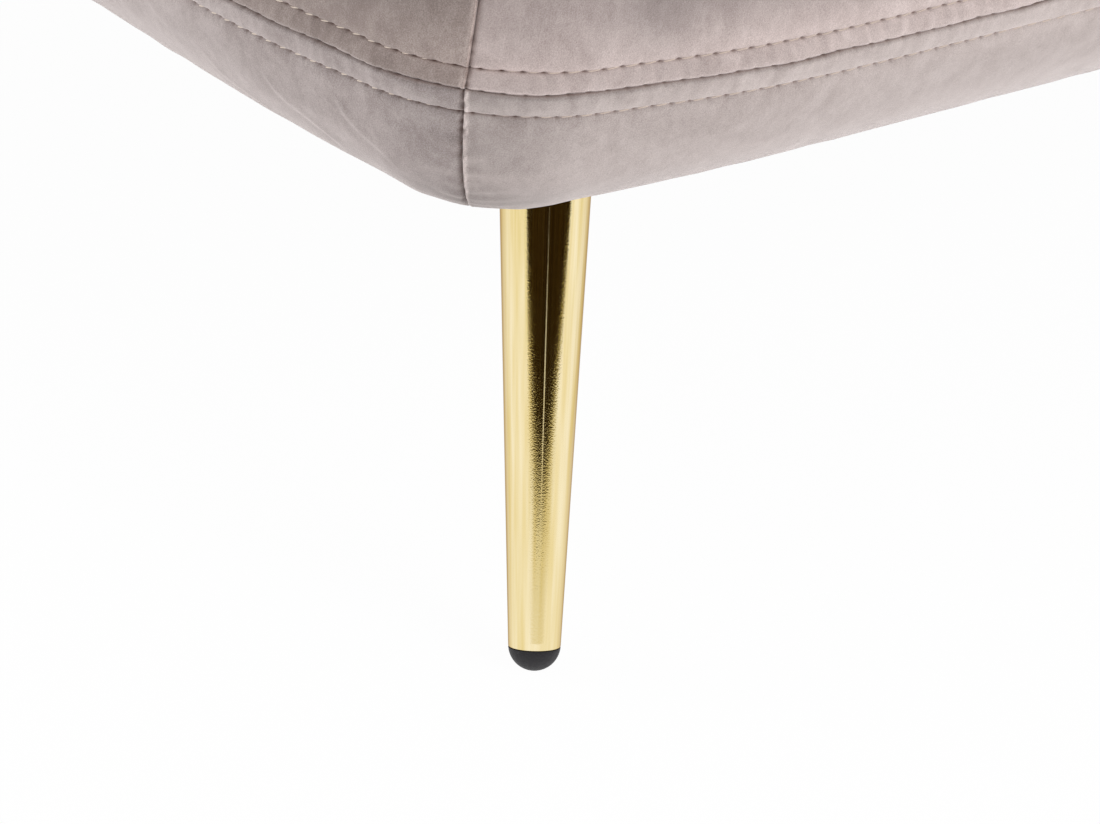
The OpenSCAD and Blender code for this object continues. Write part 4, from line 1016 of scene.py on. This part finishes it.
# Back: a padded wall that rises in a sweep from its nose and turns the rear corner to the head end
back = dict(
    rise=366.0, noseRise=130.0, frontDrop=24.0, noseX=-250.0, sweepStart=40.0, sweepEnd=430.0,
    hump=2.2, humpX=-70.0, humpReach=48.0, endRound=36.0, endFall=60.0, endWidth=0.8, endHeight=0.84,
    outer=61.0, inner=76.0, cornerRadius=70.0, tightRadius=25.0, meetReach=60.0, frontInset=26.0,
    lineInset=68.0, columnSpacing=3.25,
)
# Its section: across as a share of the outer or inner thickness, and up as a share of the rise
backShape = np.array([
    (0.56, 0), (0.88, 0.05), (1, 0.3), (0.98, 0.62), (0.85, 0.86), (0.5, 0.975), (0, 1),
    (-0.31, 0.97), (-0.58, 0.85), (-0.76, 0.6), (-0.92, 0.32), (-1, 0.1), (-0.82, 0),
])
backTop, backFoot = 6, len(backShape) - 1  # the section's points at the top seam and at the inner foot
backLine = half - back["lineInset"]
backArc = backLine - back["cornerRadius"]
backFloor = plateauZ + 0.3
backFrontY = -(half[1] - back["frontInset"])
rearRun = backArc[0] - back["noseX"]
arcRun = back["cornerRadius"] * math.pi / 2
headRun = backArc[1] - backFrontY
backLength = rearRun + arcRun + headRun


def backHeight(t):
    # Height and roundness of the section at places t along the back's middle line
    x = back["noseX"] + np.minimum(t, rearRun)
    share = ramp(x, back["noseX"] + back["sweepStart"], back["sweepEnd"])
    rise = back["noseRise"] + (back["rise"] - back["noseRise"]) * smoothStep(share)
    past = np.clip((t - rearRun - arcRun) / headRun, 0, 1)
    rise = rise - back["frontDrop"] * past**2 + back["hump"] * bump(x - back["humpX"], back["humpReach"])
    fromEnd = np.minimum(t, backLength - t)
    roundShare = np.sqrt(1 - (1 - np.clip(fromEnd / back["endRound"], 0, 1)) ** 2)
    highShare = np.sqrt(1 - (1 - np.clip(fromEnd / back["endFall"], 0, 1)) ** 2)
    height = rise * (back["endHeight"] + (1 - back["endHeight"]) * highShare)
    return height, back["endWidth"] + (1 - back["endWidth"]) * roundShare


def backPoints(t, offset, z):
    radius = np.maximum(back["tightRadius"], back["cornerRadius"] + offset)
    centre = backLine[None, :] + offset[:, None] - radius[:, None]
    angle = np.clip((t - rearRun) / back["cornerRadius"], 0, math.pi / 2)
    onRear = np.column_stack([back["noseX"] + t, backLine[1] + offset])
    onHead = np.column_stack([backLine[0] + offset, backArc[1] - (t - rearRun - arcRun)])
    onArc = centre + radius[:, None] * np.column_stack([np.sin(angle), np.cos(angle)])
    # a tight inner corner meets the straight parts past the ends of its arc
    arcEnd = rearRun + arcRun
    beforeArc, afterArc = t < rearRun, t > arcEnd
    xy = np.where(beforeArc[:, None], onRear, np.where(afterArc[:, None], onHead, onArc))
    toArc = ramp(t, rearRun - back["meetReach"], rearRun) * beforeArc
    fromArc = ramp(t, arcEnd + back["meetReach"], arcEnd) * afterArc
    xy -= (backArc - centre) * np.column_stack([toArc, fromArc])
    return np.column_stack([xy, z])


def shapeCurve(first, last, count=400):
    # Smooth curve through the section's points, and the length along it for a full-height section
    curve = cubicWeights(np.linspace(first, last, count), len(backShape)) @ backShape
    return curve, lengthAlong(curve * (back["lineInset"], back["rise"]))


def backRows(outerSide, columns, distances):
    # Rows of one side of the back, at distances from its top seam
    curve, length = shapeCurve(backTop, 0 if outerSide else backFoot)
    across, up = (np.interp(distances, length, curve[:, k]) for k in (0, 1))
    rise, roundShare = backHeight(columns)
    reach = back["outer" if outerSide else "inner"] * roundShare
    return np.array([backPoints(columns, a * reach, backFloor + u * rise) for a, u in zip(across, up)])


def backPush(outerSide, columns, distances, rowAt, length):
    # What the cloth adds to a side of the back, from its row of stitches to its foot
    cell = cloth["cellSize"] * cloth["backCells"]
    coarse = np.linspace(0, backLength, int(backLength / cell))
    points = backRows(outerSide, coarse, np.linspace(rowAt, length, int((length - rowAt) / cell)))
    name = f"backCloth{'Outer' if outerSide else 'Inner'}"
    shift = simulatedMove(name, points, cloth["backCap"], cloth["slack"], turned=not outerSide)
    return carriedOver(shift, (distances - rowAt) / (length - rowAt), columns / backLength)


def makeBackSide(side, columns, s):
    # The outer side's stitches are as far from the seam as the borders', the inner side's as the bands'
    outerSide = side == "outer"
    row = 0 if outerSide else 1
    rowAt, seed = seam["rowAt"][row], seeds["backOuter" if outerSide else "backInner"]
    length = shapeCurve(backTop, 0 if outerSide else backFoot)[1][-1]
    distances = fineRows(length, rowAt, 4.6)
    base = backRows(outerSide, columns, distances)
    normals = gridNormals(base, flip=not outerSide)
    w = distances[:, None]
    fromEnd = np.minimum(columns, backLength - columns)[None, :]
    relief, partedShade = seamRelief(w, s[None, :], fromEnd, row, seed)
    edgeDip, edgePartedShade = edgeRelief(fromEnd, edgeSeam["paddedWidth"])
    fade = np.clip((length - w) / creases["backFoot"], 0, 1)
    slanted = softWave(s[None, :] * 0.7 + w * 0.7, (83.0, 121.0, 173.0), seeds["backCrease"])
    slanted = slanted * fade * ramp(w, 0, creases["backFade"]) * ramp(fromEnd, 0, creases["backFade"])
    relief = relief * np.clip(fade * 2, 0, 1) + edgeDip + creases["back"] * slanted
    grid = base + normals * relief[..., None] + backPush(outerSide, columns, distances, rowAt, length)
    grid = clearOf(f"back_{side}_foam", grid, normals)
    index = int(np.argmin(abs(distances - rowAt)))
    keepStitches(0, s, grid[index], normals[index], seed, 1.5)
    # painted light on the strip between the top seam and its stitches
    lie = np.broadcast_to(ramp(w, rowAt + 2, rowAt), partedShade.shape)
    sewn = turnedIn(grid, normals, np.maximum(partedShade, edgePartedShade), lie)
    flip, names = not outerSide, (f"back_{side}_velvet", f"back_{side}_cover")
    makeCover(*names, sewn[0], velvetLook, *sewn[1:], flip=flip, fill=0.8)


def makeBackSides():
    columns = spacedAlong(backLength, [(4.0, 0.8), (14.0, 1.6), (9999.0, back["columnSpacing"])])
    topLine = backPoints(columns, np.zeros(len(columns)), backFloor + backHeight(columns)[0])
    for side in ("outer", "inner"):
        makeBackSide(side, columns, lengthAlong(topLine))


makeBackSides()

# Padded ends of the back, whose rings run from the seam to the middle
facing = dict(
    rings=(1.0, 0.994, 0.985, 0.97, 0.95, 0.92, 0.87, 0.8, 0.7, 0.55, 0.4, 0.25, 0.12, 0.0),
    bulge=5.2, dome=1.6, groove=1.2, grooveShare=0.006, curvePoints=90, footPoints=24,
)


def makeFacing(name, atNose, node):
    rise, roundShare = (float(v[0]) for v in backHeight(np.array([0.0 if atNose else backLength])))
    outerCurve, innerCurve = (
        shapeCurve(*ends, facing["curvePoints"])[0] for ends in ((0, backTop), (backTop, backFoot))
    )
    curve = np.concatenate([outerCurve, innerCurve[1:]])
    across = np.where(curve[:, 0] > 0, back["outer"], back["inner"]) * curve[:, 0] * roundShare
    foot = np.linspace(0, 1, facing["footPoints"])[1:-1]
    across = np.concatenate([across, across[-1] + (across[0] - across[-1]) * foot])
    up = np.concatenate([curve[:, 1] * rise, np.zeros(len(foot))])
    middleAcross, middleUp = (back["outer"] - back["inner"]) / 2 * roundShare, rise / 2
    rows = []
    for share in facing["rings"]:
        out = facing["bulge"] * (1 - share**10) + facing["dome"] * (1 - share**2)
        out = out - facing["groove"] * bump(1 - share, facing["grooveShare"])
        a = middleAcross + (across - middleAcross) * share
        z = backFloor + middleUp + (up - middleUp) * share
        if atNose:
            rows.append(np.column_stack([np.full(len(a), back["noseX"] - out), backLine[1] + a, z]))
        else:
            rows.append(np.column_stack([backLine[0] + a, np.full(len(a), backFrontY - out), z]))
    makeCover(name, node, np.array(rows), velvetLook, closed=True, flip=not atNose)


makeFacing("nose_facing_velvet", True, "nose_facing")
makeFacing("front_facing_velvet", False, "front_facing")
print("back made")


# Threads of the topstitches. A row's kind is 0 above the seam and 1 below it on the long sides, 2 above it
# and 3 below it on the ends, and 0 on the seat top and the back.
thread = dict(
    width=0.46, flatness=0.8, rise=0.34, sunk=0.12, reach=(5.3, 4.5, 4.5, 3.1),
    slant=(0.25, 0.2, 0.5, 0.35), sides=6, rings=7, twist=2500.0, roughness=0.45,
    sideTones=((184, 166, 155), (220, 205, 192)), endLitTones=((226, 208, 190), (248, 238, 226)),
)


def threadMaterial(name, dark, light):
    material, tree, shader = newMaterial(name)
    place = addNode(tree, "ShaderNodeTexCoord").outputs["Object"]
    colour = addMix(tree, addNoise(tree, place, thread["twist"], 2.0), srgb(*dark), srgb(*light))
    feed(tree, shader, {"Base Color": colour, "Roughness": thread["roughness"]})
    return material


def threadRing(at, s, points, normals, slant):
    # One stitch at the places at: round rings that come up at one needle hole and dip into the next
    turn = np.linspace(0, 2 * math.pi, thread["sides"], endpoint=False)
    share = np.linspace(-1, 1, thread["rings"])
    centre, normal = (
        np.column_stack([np.interp(at, s, values[:, i]) for i in range(3)]) for values in (points, normals)
    )
    normal /= np.linalg.norm(normal, axis=1, keepdims=True)
    along = np.gradient(centre, axis=0)
    along /= np.linalg.norm(along, axis=1, keepdims=True)
    across = np.cross(normal, along)
    radius = (thread["width"] / 2 * np.sqrt(np.clip(1 - share**6, 0.04, 1)))[:, None]
    lift = thread["rise"] * (1 - share**4) - thread["sunk"]
    centre = centre + normal * lift[:, None] + across * (slant * share)[:, None]
    wide, high = radius * np.cos(turn), radius * np.sin(turn) * thread["flatness"]
    ring = centre[:, None, :] + across[:, None, :] * wide[..., None] + normal[:, None, :] * high[..., None]
    return ring.reshape(-1, 3)


def makeThreads(name, kinds, look):
    sides, rings = thread["sides"], thread["rings"]
    ends = np.array([[0, 5, 4, 3], [0, 3, 2, 1]])  # two faces close each six-sided end
    wall = gridQuads(rings, sides, closed=True)
    quads = np.concatenate([wall, ends, ends[:, ::-1] + sides * (rings - 1)])
    stitches = []
    for kind, s, points, normals, first in (run for run in stitchRuns if run[0] in kinds):
        begin = math.ceil((s[0] - first) / seam["pitch"]) - 1
        end = int((s[-1] - first) / seam["pitch"]) + 1
        for number in range(begin, end):
            middle = first + (number + 0.5) * seam["pitch"]
            at = middle + np.linspace(-0.5, 0.5, rings) * thread["reach"][kind]
            if at[0] > s[0] and at[-1] < s[-1]:
                stitches.append(threadRing(at, s, points, normals, thread["slant"][kind]))
    quads = np.concatenate([quads + number * sides * rings for number in range(len(stitches))])
    makePiece(name, np.concatenate(stitches), quads, look)
    print(name, len(stitches))


makeThreads("topstitch_threads", (0, 1), threadMaterial("thread", *thread["sideTones"]))
# the ends' threads are the same thread painted lighter, as painted light where the light falls on them
makeThreads("end_topstitch_threads", (2, 3), threadMaterial("threadPaintedLit", *thread["endLitTones"]))


# Legs: polished tubes that taper down, with a thin weld line and a rolled lower lip
leg = dict(
    insetEnd=82.5, insetSide=66.7, leanEnd=0.166, leanSide=0.298, lowRadius=8.7, highRadius=16.5, wall=1.5,
    endHeight=7.2, hollow=14.0, lip=0.7, topRise=6.0, topRound=1.2, studRadius=5.05, studGap=2.0,
    weldAngle=175.5, weldHeight=0.11, weldWidth=0.12, weldLeast=0.15, weldFrom=(30.0, 90.0), sides=144,
    lipRows=5, wallFrom=3.0, wallRows=40, weldGap=3.0, weldSpan=2.2, weldColumns=15,
)
legSigns = dict(front_foot=(-1, -1), rear_foot=(-1, 1), front_head=(1, -1), rear_head=(1, 1))
legInset = np.array([leg["insetEnd"], leg["insetSide"]])
legLean = np.array([leg["leanEnd"], leg["leanSide"]])


def legProfile(length):
    # Radius and height from inside the tube's lower end, over the lip and up the wall, to the stud's hole
    low, slope = leg["lowRadius"], (leg["highRadius"] - leg["lowRadius"]) / length
    bore, lip, stud = low - leg["wall"], leg["lip"], leg["studRadius"]
    lipTop = low + slope * lip - lip
    turns = np.radians(np.linspace(0, 90, leg["lipRows"]))
    wall = np.linspace(leg["wallFrom"], length - leg["topRound"], leg["wallRows"])
    profile = [(bore, leg["hollow"]), (bore, 0.3)]
    profile += [(lipTop + lip * math.sin(a), lip * (1 - math.cos(a))) for a in turns]
    profile += [(low + slope * u, u) for u in wall]
    profile += [(leg["highRadius"] - 0.5, length - 0.2), (leg["highRadius"] - leg["topRound"], length)]
    return profile + [(stud + leg["studGap"], length), (stud, length), (stud, length - 3)]


def makeLegs():
    lean = math.hypot(*legLean)
    turn = Matrix.Rotation(math.atan2(leg["leanSide"], leg["leanEnd"]), 3, "Z")
    turn = np.array(turn @ Matrix.Rotation(math.atan(lean), 3, "Y"))
    stretch = math.hypot(1, lean)  # length along the leg for each millimetre of height
    low = -(seatBody["underside"] - leg["endHeight"]) * stretch
    length = leg["topRise"] * stretch - low
    weld = math.radians(leg["weldAngle"])
    angle = np.linspace(0, 2 * math.pi, leg["sides"], endpoint=False)
    angle = angle[abs(angle - weld) > math.radians(leg["weldGap"])]
    beside = np.radians(np.linspace(-leg["weldSpan"], leg["weldSpan"], leg["weldColumns"]))
    angle = np.sort(np.concatenate([angle, weld + beside]))
    rows = []
    for radius, u in legProfile(length):
        isWall = leg["wallFrom"] <= u <= length - leg["topRound"]
        ridge = leg["weldHeight"] * bump((angle - weld) * radius, leg["weldWidth"]) * isWall
        r = radius + ridge * max(leg["weldLeast"], float(ramp(u, *leg["weldFrom"])))
        rows.append(np.column_stack([r * np.cos(angle), r * np.sin(angle), np.full(len(angle), low + u)]))
    local = np.array(rows)
    corner = local @ turn.T + np.array([*(legInset - half), seatBody["underside"]])
    for name, (sx, sy) in legSigns.items():
        grid = corner * np.array([-sx, -sy, 1.0])
        quads = gridQuads(*grid.shape[:2], closed=True, flip=sx * sy < 0)
        piece = makePiece(f"leg_tube_{name}", grid, quads, goldLook, local=local)
        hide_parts(f"leg_{name}")


makeLegs()
print("legs made")


# Dust cover: thin black cloth stapled under the rails, sagging a little between the cross rails
dustCover = dict(
    edgeInset=42.3, top=189.7, thickness=0.9, opening=18.0, sag=2.2, pull=0.35, edgeReach=60.0,
    cells=(220, 90),
)


def makeDustCover():
    size = 2 * (half - dustCover["edgeInset"])
    x, y = (np.linspace(-w / 2, w / 2, cells + 1) for w, cells in zip(size, dustCover["cells"]))
    gx, gy = np.meshgrid(x, y)
    inward = np.minimum(size[0] / 2 - abs(gx), size[1] / 2 - abs(gy))
    inward = np.clip(inward / dustCover["edgeReach"], 0, 1)
    uneven = softWave(gx, (360.0, 120.0), seeds["dustX"]) * softWave(gy, (240.0, 330.0), seeds["dustY"])
    sag = -dustCover["sag"] * inward * (0.6 + 0.4 * uneven)
    pulls = dustCover["pull"] * (1 - inward) * softWave(gx + gy, (38.0, 45.0), seeds["dustPull"])
    gz = dustCover["top"] - dustCover["thickness"] + np.minimum(sag + pulls, 0)
    points = np.dstack([gx, gy, gz]).reshape(-1, 3)
    quads = gridQuads(*gx.shape, flip=True)
    # round openings where the legs pass: faces inside are left out, and their rim is drawn to the circle
    keep = np.ones(len(quads), bool)
    opening = dustCover["opening"]
    for signs in legSigns.values():
        place = (half - legInset - (dustCover["top"] - seatBody["underside"]) * legLean) * signs
        away = points[:, :2] - place
        far = np.linalg.norm(away, axis=1)
        inside = far < opening
        dropped = inside[quads].all(axis=1)
        keep &= ~dropped
        rim = np.unique(quads[inside[quads].any(axis=1) & ~dropped])
        rim = rim[inside[rim]]
        points[rim, :2] = place + away[rim] / far[rim, None] * opening
    piece = makePiece("dust_cover_cloth", points, quads[keep], plainLooks["dustCloth"])
    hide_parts("dust_cover")


makeDustCover()
print("dust cover made")


# The frame's own nodes get their materials by the first of these words that is in the name, or else velvet
nodeLooks = dict(
    rail="timber", corner_block="timber", back_post="timber", board="timber", springs="zincSteel",
    clips="zincSteel", stud="zincSteel", plate="zincSteel", screws="zincSteel", felt="greyFelt",
    foam="foam", webbing="webbing", rubber="blackRubber", dust="dustCloth",
)


def dressNodes():
    looks = {word: plainLooks[look] for word, look in nodeLooks.items()}
    looks = {**looks, "leg_": goldLook, "": velvetLook}
    for name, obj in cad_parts.items():
        obj.data.materials.clear()
        obj.data.materials.append(next(look for word, look in looks.items() if word in name))


dressNodes()
print("nodes dressed")


# Stage: white floor and soft studio light. The dark of the room, which only reflections show, is a wedge
# round a leg's axis, with an amber edge; lamps and the floor's reach are in metres.
studio = dict(
    floorTone=(250, 250, 250), floorReach=30.0, whiteShare=0.97, floorBounce=0.12, worldLevel=0.5,
    whiteTone=(0.96, 0.96, 0.96), warmTone=(0.78, 0.72, 0.49), edgeTone=(0.6, 0.5, 0.16),
    darkTones=((0.004, 0.001, 0.0), (0.044, 0.026, 0.006)), warmRise=0.05, streakScale=9.0,
    darkFacing=(-0.6097, -0.7262, 0.3176), darkTurn=0.14, darkTip=-0.258, darkSpan=0.066, darkTop=0.8,
    darkHalfWidth=1.03, darkInset=0.05, darkSoftness=4.5, darkWidest=2.0, darkTipFade=12.0,
    darkTopFade=5.0, darkGain=(3.0, -0.75), edgeGain=4.0, streakGain=(3.0, -1.0), warmBlend=0.2,
)
lamps = dict(
    keyLight=dict(place=(0.1, -3.6, 2.0), target=(-0.4, -0.2, 0.3), size=1.8, power=80.0),
    fillLight=dict(place=(-2.9, 1.9, 1.0), target=(-0.75, -0.1, 0.2), size=1.6, power=38.0),
)
white = (1.0, 1.0, 1.0, 1.0)


def makeFloor():
    material, tree, shader = newMaterial("floorWhite")
    tree.nodes.remove(shader)
    diffuse = addNode(tree, "ShaderNodeBsdfDiffuse", {"Color": srgb(*studio["floorTone"])}).outputs[0]
    bounce, shown = (
        addNode(tree, "ShaderNodeEmission", {"Color": white, "Strength": level}).outputs[0]
        for level in (studio["floorBounce"], 1.0)
    )
    lit = addNode(tree, "ShaderNodeAddShader", {0: diffuse, 1: bounce}).outputs[0]
    path = addNode(tree, "ShaderNodeLightPath").outputs
    seen = addMath(tree, "MAXIMUM", path["Is Camera Ray"], path["Is Glossy Ray"])
    seen = addMath(tree, "MAXIMUM", seen, path["Is Transmission Ray"])
    share = addMath(tree, "MULTIPLY", seen, studio["whiteShare"])
    feed(tree, tree.nodes["Material Output"], {"Surface": addShaderMix(tree, share, lit, shown)})
    r = studio["floorReach"]
    mesh = bpy.data.meshes.new("floor")
    mesh.from_pydata([(-r, -r, 0), (r, -r, 0), (r, r, 0), (-r, r, 0)], [], [(0, 1, 2, 3)])
    mesh.materials.append(material)
    addObject("floor", mesh)


def addDot(tree, way, vector):
    node = addNode(tree, "ShaderNodeVectorMath", {0: way, 1: vector}, operation="DOT_PRODUCT")
    return node.outputs["Value"]


def addBearing(tree, way, axis, facing):
    return addMath(tree, "ARCTAN2", addDot(tree, way, axis.cross(facing)), addDot(tree, way, facing))


def darkWedge(tree, way, axis, facing):
    # A dark wedge of the room, measured round the given axis: it widens from a tip as it rises
    height = addDot(tree, way, axis)
    bearing = addMath(tree, "SUBTRACT", addBearing(tree, way, axis, facing), studio["darkTurn"])
    rise = addMath(tree, "SUBTRACT", height, studio["darkTip"])
    rise = addMath(tree, "DIVIDE", rise, studio["darkSpan"])
    rise = addMath(tree, "MINIMUM", addMath(tree, "MAXIMUM", rise, 0.0), studio["darkWidest"])
    width = addMath(tree, "MULTIPLY", addMath(tree, "SQRT", rise), studio["darkHalfWidth"])
    inside = addMath(tree, "SUBTRACT", width, addMath(tree, "ABSOLUTE", bearing))
    inside = addMath(tree, "SUBTRACT", inside, studio["darkInset"])
    inside = addMath(tree, "MULTIPLY_ADD", inside, studio["darkSoftness"], 0.5, clamp=True)
    belowTop = addMath(tree, "SUBTRACT", studio["darkTop"], height)
    notHigh = addMath(tree, "MULTIPLY", belowTop, studio["darkTopFade"], clamp=True)
    pastTip = addMath(tree, "MULTIPLY", rise, studio["darkTipFade"], clamp=True)
    return addMath(tree, "MULTIPLY", addMath(tree, "MULTIPLY", inside, notHigh), pastTip)


def makeWorld():
    # White to the camera; even light for the object, and a warm white room with its dark in reflections
    world = bpy.data.worlds.new("studio")
    bpy.context.scene.world = world
    world.use_nodes = True
    tree = world.node_tree
    tree.nodes.clear()
    way = addNode(tree, "ShaderNodeTexCoord").outputs["Generated"]
    axis, facing = Vector((*legLean, 1)).normalized(), Vector(studio["darkFacing"])
    opposite = Matrix.Rotation(math.pi, 3, "Z")
    dark = darkWedge(tree, way, axis, facing)
    dark = addMath(tree, "MAXIMUM", dark, darkWedge(tree, way, opposite @ axis, opposite @ facing))
    # reflections: white at the horizon, warmer above it, then a narrow amber edge and the dark itself
    whiteTone, warmTone, edgeTone = (studio[tone] + (1,) for tone in ("whiteTone", "warmTone", "edgeTone"))
    height = addNode(tree, "ShaderNodeSeparateXYZ", {0: way}).outputs["Z"]
    warm = addMath(tree, "DIVIDE", height, studio["warmRise"], clamp=True)
    tone = addMix(tree, addMath(tree, "SMOOTH_MIN", warm, 1.0, studio["warmBlend"]), whiteTone, warmTone)
    tone = addMix(tree, addMath(tree, "MULTIPLY", dark, studio["edgeGain"], clamp=True), tone, edgeTone)
    streaks = addNoise(tree, addBearing(tree, way, axis, facing), studio["streakScale"], 3.0)
    streaks = addMath(tree, "MULTIPLY_ADD", streaks, *studio["streakGain"], clamp=True)
    streaky = addMix(tree, streaks, *(shade + (1,) for shade in studio["darkTones"]))
    dark = addMath(tree, "MULTIPLY_ADD", dark, *studio["darkGain"], clamp=True)
    tone = addMix(tree, dark, tone, streaky)
    soft, shown, mirrored = (
        addNode(tree, "ShaderNodeBackground", {"Color": colour, "Strength": level}).outputs[0]
        for colour, level in ((white, studio["worldLevel"]), (white, 1.0), (tone, 1.0))
    )
    path = addNode(tree, "ShaderNodeLightPath").outputs
    seen = addMath(tree, "MAXIMUM", path["Is Camera Ray"], path["Is Transmission Ray"])
    surface = addShaderMix(tree, path["Is Glossy Ray"], addShaderMix(tree, seen, soft, shown), mirrored)
    addNode(tree, "ShaderNodeOutputWorld", {"Surface": surface})


def makeLamp(name, place, target, size, power):
    data = bpy.data.lights.new(name, "AREA")
    data.size = size
    data.energy = power
    obj = addObject(name, data)
    obj.location = place
    obj.rotation_mode = "QUATERNION"
    obj.rotation_quaternion = (Vector(target) - Vector(place)).to_track_quat("-Z", "Y")
    obj.visible_glossy = False


makeFloor()
makeWorld()
for name, lamp in lamps.items():
    makeLamp(name, **lamp)
bpy.context.scene.view_settings.view_transform = "Standard"
print("stage made")
